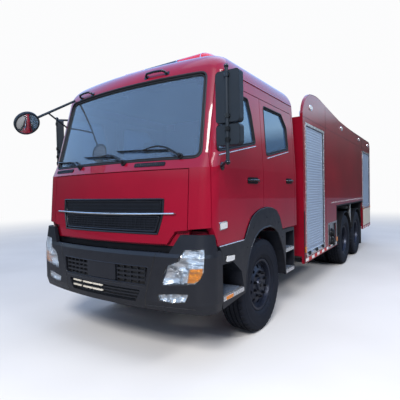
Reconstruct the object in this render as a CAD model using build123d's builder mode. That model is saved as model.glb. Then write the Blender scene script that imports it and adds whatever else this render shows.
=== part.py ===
from build123d import *
import math
import os

# Six-wheel fire truck with a four-door cab.  Millimetres.
# +X is the truck's left side, -Y its front, +Z up, z = 0 the ground.
# Tables give y from the front axle; Y() turns that into the frame's y.

os.makedirs("parts", exist_ok=True)

# ------------------------------------------------------------------ sizes
FRONT_AXLE_Y = -3055.0      # the front axle in the frame
REAR_AXLES = (4350.0, 5700.0)

TYRE_R = 540.0
TYRE_W = 300.0
WHEEL_Z = TYRE_R
BEAD_R = 287.0
FRONT_WHEEL_X = 1024.0      # middle of the front tyre
REAR_WHEEL_X = 898.0        # middle between the twin tyres
TWIN_GAP = 340.0            # middle to middle of the twin tyres

TOW_PIN_R = 20.0
INLET_R = 62.0              # hose inlets in the side panels

KINGPIN_X = 850.0
KINGPIN_R = 22.0
SPINDLE_R = 38.0

RAIL_X = 390.0              # middle of a frame rail
RAIL_W = 80.0
RAIL_Z0, RAIL_Z1 = 790.0, 1060.0
RAIL_T = 9.0

CAB_WALL = 60.0
GAP = 8.0                   # panel gap
CAB_REAR = 1140.0
ROOF_T = 30.0

BODY_W = 1245.0             # half width of the rear body
BODY_Y0, BODY_Y1 = 1352.0, 7730.0
BODY_WALL = 40.0
BODY_Z0 = 542.0
DECK_Z = 2740.0

AXIS_DOOR_X = 1193.0        # front doors' hinge line
AXIS_DOOR_Y = -1171.0
AXIS_REAR_DOOR_X = 1226.0
AXIS_REAR_DOOR_Y = -58.0

FRONT_R = 5000.0            # plan radius of cab and bumper front


def Y(y):
    return FRONT_AXLE_Y + y


def side_pts(table):
    return [(Y(y), z) for y, z in table]


def front_plane(y):
    # sketch plane facing the truck's front, x to the left side, z up
    return Plane(origin=(0, Y(y), 0), x_dir=(1, 0, 0), z_dir=(0, -1, 0))


def side_plane(x):
    return Plane.YZ.offset(x)


def box(x0, x1, y0, y1, z0, z1, mode=Mode.ADD):
    # a block from its limits; y from the front axle
    with Locations(((x0 + x1) / 2, Y((y0 + y1) / 2), (z0 + z1) / 2)):
        Box(abs(x1 - x0), abs(y1 - y0), abs(z1 - z0), mode=mode)


def save(made, name):
    made.part.label = name
    export_step(made.part, "parts/" + name + ".step")


# ------------------------------------------------------------------ outlines
def plan_outline(z, w, yf, rc, yr, rr=70.0, rf=FRONT_R):
    """Closed plan section: curved front, round corners, straight sides and back."""
    d = math.sqrt((rf - rc) ** 2 - (w - rc) ** 2)
    xc, yc = w - rc, yf + rf - d
    tx = xc * rf / (rf - rc)
    ty = yf + rf - math.sqrt(rf * rf - tx * tx)
    a0 = math.atan2(ty - yc, tx - xc)
    mx, my = xc + rc * math.cos(a0 / 2), yc + rc * math.sin(a0 / 2)
    q = rr * (1 - math.sqrt(0.5))
    with BuildSketch(Plane.XY.offset(z)) as s:
        with BuildLine():
            ThreePointArc((-tx, Y(ty)), (0, Y(yf)), (tx, Y(ty)))
            ThreePointArc((tx, Y(ty)), (mx, Y(my)), (w, Y(yc)))
            Line((w, Y(yc)), (w, Y(yr - rr)))
            ThreePointArc((w, Y(yr - rr)), (w - q, Y(yr - q)), (w - rr, Y(yr)))
            Line((w - rr, Y(yr)), (-w + rr, Y(yr)))
            ThreePointArc((-w + rr, Y(yr)), (-w + q, Y(yr - q)), (-w, Y(yr - rr)))
            Line((-w, Y(yr - rr)), (-w, Y(yc)))
            ThreePointArc((-w, Y(yc)), (-mx, Y(my)), (-tx, Y(ty)))
        make_face()
    return s.sketch


# z, half width, front at the middle, corner radius, back
CAB_SECTIONS = (
    (1150, 1222, -1376, 160, CAB_REAR),
    (1874, 1222, -1318, 160, CAB_REAR),
    (2010, 1216, -1252, 150, CAB_REAR),
    (2830, 1172, -1031, 132, CAB_REAR - 8),
)
ROOF_SECTIONS = (
    (2830, 1172, -1031, 132, CAB_REAR - 8),
    (2930, 1145, -985, 150, CAB_REAR - 28),
    (3020, 1080, -885, 180, CAB_REAR - 85),
    (3075, 960, -730, 220, CAB_REAR - 190),
    (3098, 760, -480, 260, CAB_REAR - 380),
)


def cab_solid(inset, front_inset=None, z0=1150, z1=2830):
    """The cab's volume below the roof, moved in by inset."""
    fi = inset if front_inset is None else front_inset
    levels = []
    for z, w, yf, rc, yr in CAB_SECTIONS:
        zz = z0 if z < 1500 else (z1 if z > 2500 else z)
        levels.append(plan_outline(zz, w - inset, yf + fi, max(rc - inset, 35.0), yr - inset,
                                   max(70 - inset, 20.0), FRONT_R - fi))
    with BuildPart(mode=Mode.PRIVATE) as p:
        loft(levels, ruled=True)
    return p.part


def roof_solid(inset, drop):
    levels = []
    for i, (z, w, yf, rc, yr) in enumerate(ROOF_SECTIONS):
        zz = z - (drop if i else 0)
        levels.append(plan_outline(zz, w - inset, yf + inset, max(rc - inset, 35.0),
                                   yr - inset, max(70 - inset, 30.0), FRONT_R - inset))
    with BuildPart(mode=Mode.PRIVATE) as p:
        loft(levels)
    return p.part


def side_prism(table, x0, x1):
    """A side outline as a block from x0 to x1."""
    with BuildPart(mode=Mode.PRIVATE) as p:
        with BuildSketch(side_plane(x0)):
            with BuildLine():
                Polyline(*side_pts(table), close=True)
            make_face()
        extrude(amount=x1 - x0)
    return p.part


def front_prism(table, y0, y1, radius=0.0, mirrored=False):
    """A front outline as a block from y0 (forward) back to y1."""
    with BuildPart(mode=Mode.PRIVATE) as p:
        with BuildSketch(front_plane(y1)) as s:
            with BuildLine():
                Polyline(*table, close=True)
            make_face()
            if radius:
                fillet(s.vertices(), radius)
            if mirrored:
                mirror(about=Plane.YZ)
        extrude(amount=y1 - y0)
    return p.part


def rounded_side_prism(table, x0, x1, radius):
    with BuildPart(mode=Mode.PRIVATE) as p:
        with BuildSketch(side_plane(x0)) as s:
            with BuildLine():
                Polyline(*side_pts(table), close=True)
            make_face()
            fillet(s.vertices(), radius)
        extrude(amount=x1 - x0)
    return p.part


def common(a, b):
    with BuildPart(mode=Mode.PRIVATE) as p:
        add(a)
        add(b, mode=Mode.INTERSECT)
    return p.part


def less(a, *others):
    with BuildPart(mode=Mode.PRIVATE) as p:
        add(a)
        for b in others:
            add(b, mode=Mode.SUBTRACT)
    return p.part


def grown(table, g):
    """An outline moved out by g along its corners' normals."""
    n = len(table)
    area = sum(table[i][0] * table[(i + 1) % n][1] - table[(i + 1) % n][0] * table[i][1]
               for i in range(n))
    sgn = 1 if area > 0 else -1
    out = []
    for i in range(n):
        (ax, ay), (bx, by), (cx, cy) = table[i - 1], table[i], table[(i + 1) % n]
        e1, e2 = (bx - ax, by - ay), (cx - bx, cy - by)
        l1, l2 = math.hypot(*e1), math.hypot(*e2)
        n1 = (sgn * e1[1] / l1, -sgn * e1[0] / l1)
        n2 = (sgn * e2[1] / l2, -sgn * e2[0] / l2)
        k = 1 + n1[0] * n2[0] + n1[1] * n2[1]
        out.append((bx + g * (n1[0] + n2[0]) / k, by + g * (n1[1] + n2[1]) / k))
    return out


def flip(table):
    return [(-x, z) for x, z in table]


def tube(a, b, r, mode=Mode.ADD):
    """A round bar between two points, y from the front axle."""
    p, q = Vector(a[0], Y(a[1]), a[2]), Vector(b[0], Y(b[1]), b[2])
    d = q - p
    pl = Plane(origin=p, z_dir=d)
    with BuildPart(pl, mode=Mode.PRIVATE) as t:
        Cylinder(r, d.length, align=(Align.CENTER, Align.CENTER, Align.MIN))
    add(t.part, mode=mode)


# ------------------------------------------------------------------ outlines
# wheel arch trim, outer edge, front to back: y, z
ARCH_OUT = ((-575, 1140), (-474, 1281), (-387, 1366), (-283, 1409), (-172, 1437),
            (7, 1451), (162, 1437), (300, 1400), (405, 1310), (499, 1140))
# wheel arch opening, back to front
ARCH_IN = ((592, 550), (575, 700), (520, 870), (449, 985), (338, 1127), (230, 1190),
           (90, 1226), (-90, 1222), (-220, 1195), (-330, 1140), (-427, 1044),
           (-486, 949), (-535, 836), (-572, 660))

# doors, seen from the side: y, z
FRONT_DOOR = ((-1100, 1150), (-1112, 1200), (-1161, 1330), (-1136, 1900), (-1096, 2045),
              (-921, 2706), (-62, 2706), (-62, 1456), (-172, 1446), (-283, 1418),
              (-391, 1374), (-481, 1287), (-584, 1150))
REAR_DOOR = ((-54, 1457), (-54, 2706), (990, 2706), (1010, 2600), (1010, 1150),
             (506, 1150), (413, 1316), (306, 1408), (164, 1446), (7, 1459))
FRONT_WINDOW = ((-1062, 2018), (-885, 2645), (-360, 2645), (-290, 2480), (-222, 2172))
REAR_WINDOW = ((55, 2058), (50, 2645), (625, 2645), (795, 2490), (822, 2195))
DOORWAYS = ((-1096, 1140), (-1120, 1200), (-1169, 1330), (-1144, 1900), (-1104, 2045),
            (-927, 2714), (998, 2714), (1018, 2602), (1018, 1140))
# front outlines: x, z
WINDSCREEN = ((-1088, 1966), (-1030, 2822), (1030, 2822), (1088, 1966))
REAR_GLASS = ((-520, 2080), (-520, 2560), (520, 2560), (520, 2080))
FLAP = ((-995, 1303), (-875, 1290), (-795, 1170), (795, 1170), (875, 1290), (995, 1303),
        (995, 1862), (-995, 1862))
FLAP_HOLE = ((-1003, 1140), (1003, 1140), (1003, 1870), (-1003, 1870))
CORNER_CUT = ((990, 1100), (990, 1308), (1260, 1330), (1260, 1100))
GRILLE = ((-690, 1262), (690, 1262), (742, 1440), (748, 1588), (-748, 1588), (-742, 1440))
HEADLAMP = ((994, 1133), (1176, 1142), (1184, 1061), (1178, 945), (1150, 875), (1102, 832),
            (785, 799), (780, 846), (812, 944), (843, 988), (943, 1027), (960, 1074))
FOG_LAMP = ((728, 708), (748, 652), (868, 643), (1007, 661), (1042, 736), (921, 733))
RADIATOR_MOUTH = ((-600, 780), (600, 780), (630, 956), (-630, 956))
LOWER_MOUTH = ((-470, 612), (-540, 730), (540, 730), (470, 612))

# ------------------------------------------------------------------ cab volumes
CAB_OUT = cab_solid(0)
CAB_IN = cab_solid(CAB_WALL, 85, 1140, 2840)
CAB_DOOR_IN = cab_solid(CAB_WALL, CAB_WALL, 1140, 2840)
CAB_FLAP_BACK = cab_solid(42, 42, 1140, 2840)
CAB_FLAP_IN = cab_solid(30, 30, 1140, 2840)
GLASS_OUT = cab_solid(20, 20, 1140, 2830)
GLASS_IN = cab_solid(27, 27, 1130, 2840)
POST_OUT = cab_solid(CAB_WALL + 7, CAB_WALL + 7, 1150, 2830)
POST_IN = cab_solid(CAB_WALL + 57, CAB_WALL + 57, 1140, 2840)
FLOOR_OUT = cab_solid(70, 84, 1140, 2840)
DOOR_WALL = less(CAB_OUT, CAB_DOOR_IN)
GLASS_WALL = less(GLASS_OUT, GLASS_IN)
POST_WALL = less(POST_OUT, POST_IN)

# ------------------------------------------------------------------ cab shell
FLOOR_Z0, FLOOR_Z1 = 1250.0, 1285.0
with BuildPart() as cab_shell:
    add(CAB_OUT)
    add(CAB_IN, mode=Mode.SUBTRACT)
    add(side_prism(DOORWAYS, 500, 1400), mode=Mode.SUBTRACT)
    add(side_prism(DOORWAYS, -1400, -500), mode=Mode.SUBTRACT)
    # recess behind the service flap, windscreen, rear glass, corner panels' ends
    add(less(front_prism(FLAP_HOLE, -1500, -1000), CAB_FLAP_BACK), mode=Mode.SUBTRACT)
    add(front_prism(WINDSCREEN, -1500, -700, 80), mode=Mode.SUBTRACT)
    add(front_prism(REAR_GLASS, 1000, 1300, 60), mode=Mode.SUBTRACT)
    add(front_prism(CORNER_CUT, -1500, -1060), mode=Mode.SUBTRACT)
    add(front_prism(flip(CORNER_CUT), -1500, -1060), mode=Mode.SUBTRACT)
    # middle pillars and header rails stand inside the doors
    for x0, x1 in ((900, 1300), (-1300, -900)):
        add(common(POST_WALL, side_prism(
            ((-110, FLOOR_Z0), (-110, 2830), (-6, 2830), (-6, FLOOR_Z0)), x0, x1)))
        add(common(POST_WALL, side_prism(
            ((-900, 2718), (-900, 2830), (1090, 2830), (1090, 2718)), x0, x1)))
    # floor with the engine tunnel
    add(common(FLOOR_OUT, side_prism(((-1400, FLOOR_Z0), (-1400, FLOOR_Z1), (1200, FLOOR_Z1),
                                      (1200, FLOOR_Z0)), -1300, 1300)))
    add(common(FLOOR_OUT, side_prism(((-1400, FLOOR_Z0), (-1400, 1500), (480, 1500),
                                      (480, FLOOR_Z0)), -395, 395)))
    box(-370, 370, -1210, 455, FLOOR_Z0 - 5, 1475, Mode.SUBTRACT)
save(cab_shell, "cab_shell")

ROOF_OUT = roof_solid(0, 0)
with BuildPart() as cab_roof:
    add(ROOF_OUT)
    add(roof_solid(ROOF_T, ROOF_T), mode=Mode.SUBTRACT)
save(cab_roof, "cab_roof")

with BuildPart() as windshield:
    add(GLASS_WALL)
    add(front_prism(WINDSCREEN, -1500, -700, 80), mode=Mode.INTERSECT)
save(windshield, "windshield")

with BuildPart() as rear_glass:
    add(GLASS_WALL)
    add(front_prism(REAR_GLASS, 1000, 1300, 60), mode=Mode.INTERSECT)
save(rear_glass, "rear_window")

# ------------------------------------------------------------------ service flap and grille
with BuildPart() as front_flap:
    add(CAB_OUT)
    add(CAB_FLAP_IN, mode=Mode.SUBTRACT)
    add(front_prism(FLAP, -1500, -1100), mode=Mode.INTERSECT)
    add(front_prism(GRILLE, -1500, -1100), mode=Mode.SUBTRACT)
save(front_flap, "front_flap")

with BuildPart() as grille:
    add(cab_solid(10, 10, 1150, 2830))
    add(cab_solid(28, 28, 1140, 2840), mode=Mode.SUBTRACT)
    add(front_prism(GRILLE, -1500, -1100), mode=Mode.INTERSECT)
save(grille, "grille")

# ------------------------------------------------------------------ doors and their glass
for side, x0, x1 in (("left", 1100, 1400), ("right", -1400, -1100)):
    with BuildPart() as door:
        add(DOOR_WALL)
        add(side_prism(FRONT_DOOR, x0, x1), mode=Mode.INTERSECT)
        add(rounded_side_prism(FRONT_WINDOW, x0, x1, 45), mode=Mode.SUBTRACT)
    save(door, "front_door_" + side)
    with BuildPart() as door:
        add(DOOR_WALL)
        add(side_prism(REAR_DOOR, x0, x1), mode=Mode.INTERSECT)
        add(rounded_side_prism(REAR_WINDOW, x0, x1, 45), mode=Mode.SUBTRACT)
    save(door, "rear_door_" + side)
    with BuildPart() as glass:
        add(GLASS_WALL)
        add(rounded_side_prism(FRONT_WINDOW, x0, x1, 45), mode=Mode.INTERSECT)
    save(glass, "front_door_glass_" + side)
    with BuildPart() as glass:
        add(GLASS_WALL)
        add(rounded_side_prism(REAR_WINDOW, x0, x1, 45), mode=Mode.INTERSECT)
    save(glass, "rear_door_glass_" + side)

# ------------------------------------------------------------------ bumper and lamps
# z, half width, front at the middle, corner radius
BUMPER_SECTIONS = (
    (552, 1226, -1410, 165),
    (640, 1240, -1436, 175),
    (1060, 1240, -1436, 175),
    (1092, 1238, -1424, 173),
    (1264, 1230, -1396, 168),
)


def bumper_solid(inset, back):
    levels = []
    n = len(BUMPER_SECTIONS)
    for i, (z, w, yf, rc) in enumerate(BUMPER_SECTIONS):
        zz = z + (-10 if i == 0 and inset else 0) + (10 if i == n - 1 and inset else 0)
        levels.append(plan_outline(zz, w - inset, yf + inset, rc - inset, back, 60, FRONT_R - inset))
    with BuildPart(mode=Mode.PRIVATE) as p:
        loft(levels, ruled=True)
    return p.part


# the side's back end, stepping forward at the ears: y, z
BUMPER_BACK = ((-1058, 540), (-1058, 1085), (-1106, 1128), (-1168, 1275), (-500, 1275), (-500, 540))
# what is cut from the top between the ears: x, z
BUMPER_TOP = ((-955, 1275), (-845, 1092), (845, 1092), (955, 1275))
BUMPER_WALL = less(bumper_solid(0, -700), bumper_solid(40, -600))

with BuildPart() as front_bumper:
    add(BUMPER_WALL)
    add(side_prism(BUMPER_BACK, -1400, 1400), mode=Mode.SUBTRACT)
    add(front_prism(BUMPER_TOP, -1500, -1000), mode=Mode.SUBTRACT)
    # rebate in the ears' outer back edge, where the doors' front edges swing
    for x0, x1 in ((1219, 1300), (-1300, -1219)):
        box(x0, x1, -1150, -1090, 1110, 1225, Mode.SUBTRACT)
    for table in (HEADLAMP, FOG_LAMP):
        add(front_prism(grown(table, 3), -1500, -1100), mode=Mode.SUBTRACT)
        add(front_prism(grown(flip(table), 3), -1500, -1100), mode=Mode.SUBTRACT)
    add(front_prism(RADIATOR_MOUTH, -1500, -1200, 20), mode=Mode.SUBTRACT)
    add(front_prism(LOWER_MOUTH, -1500, -1200, 15), mode=Mode.SUBTRACT)
save(front_bumper, "front_bumper")

LAMP_WALL = less(bumper_solid(3, -700), bumper_solid(38, -600))
with BuildPart() as headlamps:
    for table in (HEADLAMP, FOG_LAMP):
        add(common(LAMP_WALL, front_prism(table, -1500, -1105)))
        add(common(LAMP_WALL, front_prism(flip(table), -1500, -1105)))
save(headlamps, "headlamps")

# ------------------------------------------------------------------ arches and steps
STEP_X = 960.0
# step recesses: y, z
FRONT_STEP = ((-1046, 672), (-1046, 972), (-840, 965), (-670, 842), (-620, 672))
REAR_STEPS = (((600, 600), (600, 845), (905, 845), (905, 600)),
              ((600, 878), (600, 1095), (905, 1095), (905, 878)))
SIDE_TRIM = (((-1050, 560), (-1050, 1080), (-1092, 1142),) + ARCH_OUT[0:1] + ARCH_OUT[1:]
             + ((506, 1142), (925, 1142), (925, 560)) + ARCH_IN + ((-600, 600),))


def step_side(s):
    """One side's arch trim and steps."""
    x0, x1 = sorted((s * STEP_X, s * 1236))
    with BuildPart(mode=Mode.PRIVATE) as trim:
        add(side_prism(SIDE_TRIM, x0, x1))
        # above the sill only the thin arch trim is left outside the doors
        cut0, cut1 = sorted((s * (STEP_X - 1), s * 1224))
        add(side_prism(((-1200, 1143), (1100, 1143), (1100, 1500), (-1200, 1500)), cut0, cut1),
            mode=Mode.SUBTRACT)
        for table in (FRONT_STEP,) + REAR_STEPS:
            r0, r1 = sorted((s * (STEP_X + 25), s * 1300))
            add(side_prism(table, r0, r1), mode=Mode.SUBTRACT)
    return trim.part


# tyre with room to spare: across from its middle, radius
TYRE_ROOM = ((-161, 0), (-161, 508), (-147, 536), (-126, 552), (126, 552), (147, 536), (161, 508), (161, 0))


def tyre_room(s, deg):
    """The space round a front tyre steered by deg."""
    c, sn = math.cos(math.radians(deg)), math.sin(math.radians(deg))
    off = s * (FRONT_WHEEL_X - KINGPIN_X)
    at = (s * KINGPIN_X + off * c, Y(off * sn), WHEEL_Z)
    pl = Plane(origin=at, x_dir=(c, sn, 0), z_dir=(sn, -c, 0))
    with BuildPart(mode=Mode.PRIVATE) as p:
        with BuildSketch(pl):
            with BuildLine():
                Polyline(*TYRE_ROOM, close=True)
            make_face()
        revolve(axis=Axis(at, (c, sn, 0)))
    return p.part


STEPS_LEFT, STEPS_RIGHT = step_side(1), step_side(-1)
with BuildPart() as arches_and_steps:
    add(STEPS_LEFT)
    add(STEPS_RIGHT)
    for s in (1, -1):
        for deg in (-30, -24, -21, -18.5, -16, -13.5, -11, -8, 0, 8, 11, 13.5, 16, 18.5, 21, 24, 30):
            add(tyre_room(s, deg), mode=Mode.SUBTRACT)
save(arches_and_steps, "arches_and_steps")

# ------------------------------------------------------------------ chassis frame
RAIL_IN, RAIL_OUT = RAIL_X - RAIL_W / 2, RAIL_X + RAIL_W / 2
FRAME_Y0, FRAME_Y1 = -1150.0, 7690.0
# cross member middles: y, half length, bottom, top
CROSS_MEMBERS = ((-1090, 60, 850, 1000), (1250, 50, 930, 1050), (2550, 50, 850, 1000),
                 (3650, 50, 850, 1000), (5025, 130, 800, 1040), (6450, 50, 850, 1000),
                 (7640, 50, 830, 1030))
# brackets on each rail: y0, y1, x0, x1, z0, z1
BRACKETS = ((-790, -730, 350, 430, 728, 789.8), (730, 790, 350, 430, 728, 789.8),
            (-900, -800, 430.2, 480, 1000, 1250), (800, 900, 430.2, 480, 1000, 1250),
            (-1374, -1150.2, 350, 430, 820, 1000))

with BuildPart() as frame_rails:
    for s in (1, -1):
        a, b = sorted((s * RAIL_IN, s * RAIL_OUT))
        box(a, b, FRAME_Y0, FRAME_Y1, RAIL_Z0, RAIL_Z1)
        c, d = sorted((s * (RAIL_IN - 1), s * (RAIL_OUT - RAIL_T)))
        box(c, d, FRAME_Y0 - 1, FRAME_Y1 + 1, RAIL_Z0 + RAIL_T, RAIL_Z1 - RAIL_T, Mode.SUBTRACT)
save(frame_rails, "frame_rails")

# cross members between the rails' webs, and brackets beside the rails
with BuildPart() as cross_members:
    for yc, h, z0, z1 in CROSS_MEMBERS:
        reach = RAIL_OUT - RAIL_T - 0.2
        box(-reach, reach, yc - h, yc + h, z0, z1)
        box(-RAIL_IN, RAIL_IN, yc - h + 8, yc + h + 1, z0 + 8, z1 - 8, Mode.SUBTRACT)
    for s in (1, -1):
        for y0, y1, x0, x1, z0, z1 in BRACKETS:
            e, f = sorted((s * x0, s * x1))
            box(e, f, y0, y1, z0, z1)
save(cross_members, "cross_members")

# ------------------------------------------------------------------ front axle and knuckles
FRONT_SPRING = ((-790, 702), (-400, 606), (-110, 548), (110, 548), (400, 606), (790, 702),
                (790, 728), (730, 728), (110, 645), (-110, 645), (-730, 728), (-790, 728))
EYE_Z0, EYE_Z1 = 470.0, 610.0
with BuildPart() as front_axle:
    box(-KINGPIN_X + 110, KINGPIN_X - 110, -45, 45, 400, 500)
    for s in (1, -1):
        with Locations((s * KINGPIN_X, Y(0), (EYE_Z0 + EYE_Z1) / 2)):
            Cylinder(48, EYE_Z1 - EYE_Z0)
        a, b = sorted((s * (KINGPIN_X - 130), s * (KINGPIN_X - 10)))
        box(a, b, -45, 45, 472, 585)
        a, b = sorted((s * 345, s * 435))
        box(a, b, -100, 100, 495, 550)
        add(side_prism(FRONT_SPRING, a, b))
        with Locations((s * KINGPIN_X, Y(0), (EYE_Z0 + EYE_Z1) / 2)):
            Cylinder(KINGPIN_R + 0.3, 300, mode=Mode.SUBTRACT)
save(front_axle, "front_axle")

ARM_Y, ARM_X = 190.0, KINGPIN_X
TIE_Z = 396.0
for side, s in (("left", 1), ("right", -1)):
    with BuildPart() as knuckle:
        with Locations((s * KINGPIN_X, Y(0), 540)):
            Cylinder(KINGPIN_R, 240)
        for z0, z1 in ((425, 464), (616, 655)):
            with Locations((s * KINGPIN_X, Y(0), (z0 + z1) / 2)):
                Cylinder(50, z1 - z0)
            a, b = sorted((s * KINGPIN_X, s * 945))
            box(a, b, -50, 50, z0, z1)
        a, b = sorted((s * 908, s * 945))
        box(a, b, -75, 75, 425, 655)
        tube((s * 930, 0, WHEEL_Z), (s * 1118, 0, WHEEL_Z), SPINDLE_R)
        # steering arm, reaching back to the tie rod
        a, b = sorted((s * (ARM_X - 32), s * (ARM_X + 32)))
        box(a, b, 20, ARM_Y + 32, 428, 458)
        a, b = sorted((s * (ARM_X - 32), s * KINGPIN_X))
        box(a, b, -30, 60, 428, 458)
        with Locations((s * ARM_X, Y(ARM_Y), 443)):
            Cylinder(11.4, 60, mode=Mode.SUBTRACT)
    save(knuckle, "knuckle_" + side)

with BuildPart() as tie_rod:
    tube((-ARM_X, ARM_Y, TIE_Z), (ARM_X, ARM_Y, TIE_Z), 18)
    for s in (1, -1):
        with Locations((s * ARM_X, Y(ARM_Y), 425)):
            Cylinder(11, 74)
        with Locations((s * ARM_X, Y(ARM_Y), TIE_Z)):
            Cylinder(26, 46)
save(tie_rod, "tie_rod")

# ------------------------------------------------------------------ wheels

def tyre(xm, y):
    """A tyre whose middle is at xm; y from the front axle."""
    pl = Plane(origin=(xm, Y(y), WHEEL_Z), x_dir=(1, 0, 0), z_dir=(0, -1, 0))
    with BuildPart(mode=Mode.PRIVATE) as p:
        with BuildSketch(pl):
            with BuildLine():
                Line((-104, BEAD_R), (104, BEAD_R))
                Line((104, BEAD_R), (107, 303))
                Line((107, 303), (128, 322))
                ThreePointArc((128, 322), (150, 400), (141, 500))
                ThreePointArc((141, 500), (134, 524), (116, 537))
                ThreePointArc((116, 537), (0, TYRE_R), (-116, 537))
                ThreePointArc((-116, 537), (-134, 524), (-141, 500))
                ThreePointArc((-141, 500), (-150, 400), (-128, 322))
                Line((-128, 322), (-107, 303))
                Line((-107, 303), (-104, BEAD_R))
            make_face()
        revolve(axis=Axis((xm, Y(y), WHEEL_Z), (1, 0, 0)))
    return p.part


def turned(xm, y, s, table, mode=Mode.ADD):
    """A closed (across, radius) outline turned about the wheel's axis."""
    pl = Plane(origin=(xm, Y(y), WHEEL_Z), x_dir=(s, 0, 0), z_dir=(0, -s, 0))
    with BuildPart(mode=Mode.PRIVATE) as p:
        with BuildSketch(pl):
            with BuildLine():
                Polyline(*table, close=True)
            make_face()
        revolve(axis=Axis((xm, Y(y), WHEEL_Z), (1, 0, 0)))
    add(p.part, mode=mode)


def hand_holes(xm, y, count, ring_r, r, x0, x1):
    pl = Plane(origin=(x0, Y(y), WHEEL_Z), z_dir=(1, 0, 0))
    with BuildPart(pl, mode=Mode.PRIVATE) as p:
        with PolarLocations(ring_r, count):
            Cylinder(r, x1 - x0, align=(Align.CENTER, Align.CENTER, Align.MIN))
    add(p.part, mode=Mode.SUBTRACT)


# rim barrel: across from the rim's middle, radius
BARREL = ((-116, 300), (-109, 300), (-106, 285), (106, 285), (109, 300), (116, 300),
          (118, 292), (112, 272), (70, 262), (-70, 262), (-112, 272), (-118, 292))
FRONT_DISC = ((86, 80), (98, 80), (98, 168), (62, 240), (62, 265), (48, 265), (48, 238), (86, 160))
FRONT_HUB = ((-62, 38.4), (-62, 88), (40, 88), (40, 100), (92, 100), (92, 82), (118, 72),
             (118, 0), (100, 0), (100, 38.4))
FRONT_DRUM = ((-58, 200), (-58, 212), (18, 212), (18, 86), (6, 86), (6, 200))
REAR_DISCS = ((14, 82), (14, 170), (56, 240), (61, 278), (73, 278), (70, 238), (28, 160), (28, 82))
REAR_HUB = ((-60, 60.4), (-60, 92), (-2, 92), (-2, 165), (30, 165), (30, 92), (150, 92),
            (168, 78), (168, 0), (150, 0), (150, 60.4))
REAR_DRUM = ((-150, 205), (-150, 220), (-1, 220), (-1, 90), (-14, 90), (-14, 205))

for side, s in (("left", 1), ("right", -1)):
    xm = s * FRONT_WHEEL_X
    t = tyre(xm, 0)
    with BuildPart() as made:
        add(t)
    save(made, "front_tyre_" + side)
    with BuildPart() as made:
        for table in (BARREL, FRONT_DISC, FRONT_HUB, FRONT_DRUM):
            turned(xm, 0, s, table)
        a, b = sorted((xm + s * 44, xm + s * 108))
        hand_holes(xm, 0, 10, 208, 24, a, b)
    save(made, "front_rim_" + side)
    for n, ya in enumerate(REAR_AXLES, 1):
        xm = s * REAR_WHEEL_X
        with BuildPart() as made:
            add(tyre(xm + TWIN_GAP / 2, ya))
            add(tyre(xm - TWIN_GAP / 2, ya))
        save(made, "rear_tyres_%d_%s" % (n, side))
        with BuildPart() as made:
            for k in (1, -1):
                turned(xm + s * k * TWIN_GAP / 2, ya, s, BARREL)
            turned(xm, ya, s, REAR_DISCS)
            turned(xm, ya, -s, REAR_DISCS)
            turned(xm, ya, s, REAR_HUB)
            turned(xm, ya, s, REAR_DRUM)
            a, b = sorted((xm + s * 12, xm + s * 80))
            hand_holes(xm, ya, 10, 208, 24, a, b)
            a, b = sorted((xm - s * 80, xm - s * 12))
            hand_holes(xm, ya, 10, 212, 12, a, b)
        save(made, "rear_rims_%d_%s" % (n, side))

# ------------------------------------------------------------------ rear bogie
BOGIE_Y = sum(REAR_AXLES) / 2
REAR_SPRING = ((4250, 622), (4480, 640), (4900, 700), (5150, 700), (5570, 640), (5800, 622),
               (5800, 652), (5300, 772), (4750, 772), (4250, 652))
with BuildPart() as rear_bogie:
    # two axles with spring pads, two leaf packs, the trunnion under them
    for ya in REAR_AXLES:
        tube((-700, ya, WHEEL_Z), (700, ya, WHEEL_Z), 78)
        tube((-1030, ya, WHEEL_Z), (1030, ya, WHEEL_Z), 60)
        with Locations((0, Y(ya), WHEEL_Z)):
            Sphere(205)
        tube((0, ya - 330, WHEEL_Z + 60), (0, ya, WHEEL_Z), 85)
        for s in (1, -1):
            a, b = sorted((s * 435, s * 525))
            box(a, b, ya - 60, ya + 60, WHEEL_Z, 621.8)
    tube((-525, BOGIE_Y, 610), (525, BOGIE_Y, 610), 48)
    for s in (1, -1):
        a, b = sorted((s * 435, s * 525))
        add(side_prism(REAR_SPRING, a, b))
        box(a, b, BOGIE_Y - 100, BOGIE_Y + 100, 590, 699.8)
        c, d = sorted((s * 352, s * 428))
        box(c, d, BOGIE_Y - 90, BOGIE_Y + 90, 580, RAIL_Z0)
save(rear_bogie, "rear_bogie")

# ------------------------------------------------------------------ power train
with BuildPart() as engine:
    box(-300, 300, -860, 330, 600, 1420)
    box(-210, 210, 330, 1020, 640, 1120)
save(engine, "engine")

with BuildPart() as radiator:
    box(-340, 340, -1030, -930, 730, 1400)
save(radiator, "radiator")

with BuildPart() as drive_shafts:
    tube((0, 1020, 880), (0, 2600, 740), 45)
    tube((0, 2600, 740), (0, REAR_AXLES[0] - 332, WHEEL_Z + 60), 45)
    with Locations((0, Y(2600), 740)):
        Sphere(62)
    tube((0, REAR_AXLES[0] + 200, WHEEL_Z + 5), (0, REAR_AXLES[1] - 332, WHEEL_Z + 60), 40)
    add(engine.part, mode=Mode.SUBTRACT)
    add(rear_bogie.part, mode=Mode.SUBTRACT)
save(drive_shafts, "drive_shafts")

with BuildPart() as fuel_tank:
    box(-1130, -560, 2640, 3400, 640, 1180)
    fillet(fuel_tank.edges().filter_by(Axis.Y), 90)
    for y in (2800, 3240):
        box(-600, -RAIL_OUT, y - 30, y + 30, 860, 960)
save(fuel_tank, "fuel_tank")

with BuildPart() as air_tanks:
    for x in (640, 920):
        tube((x, 2680, 830), (x, 3380, 830), 120)
    box(RAIL_OUT, 940, 2780, 2830, 900, 960)
    box(RAIL_OUT, 940, 3230, 3280, 900, 960)
save(air_tanks, "air_tanks")

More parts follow.
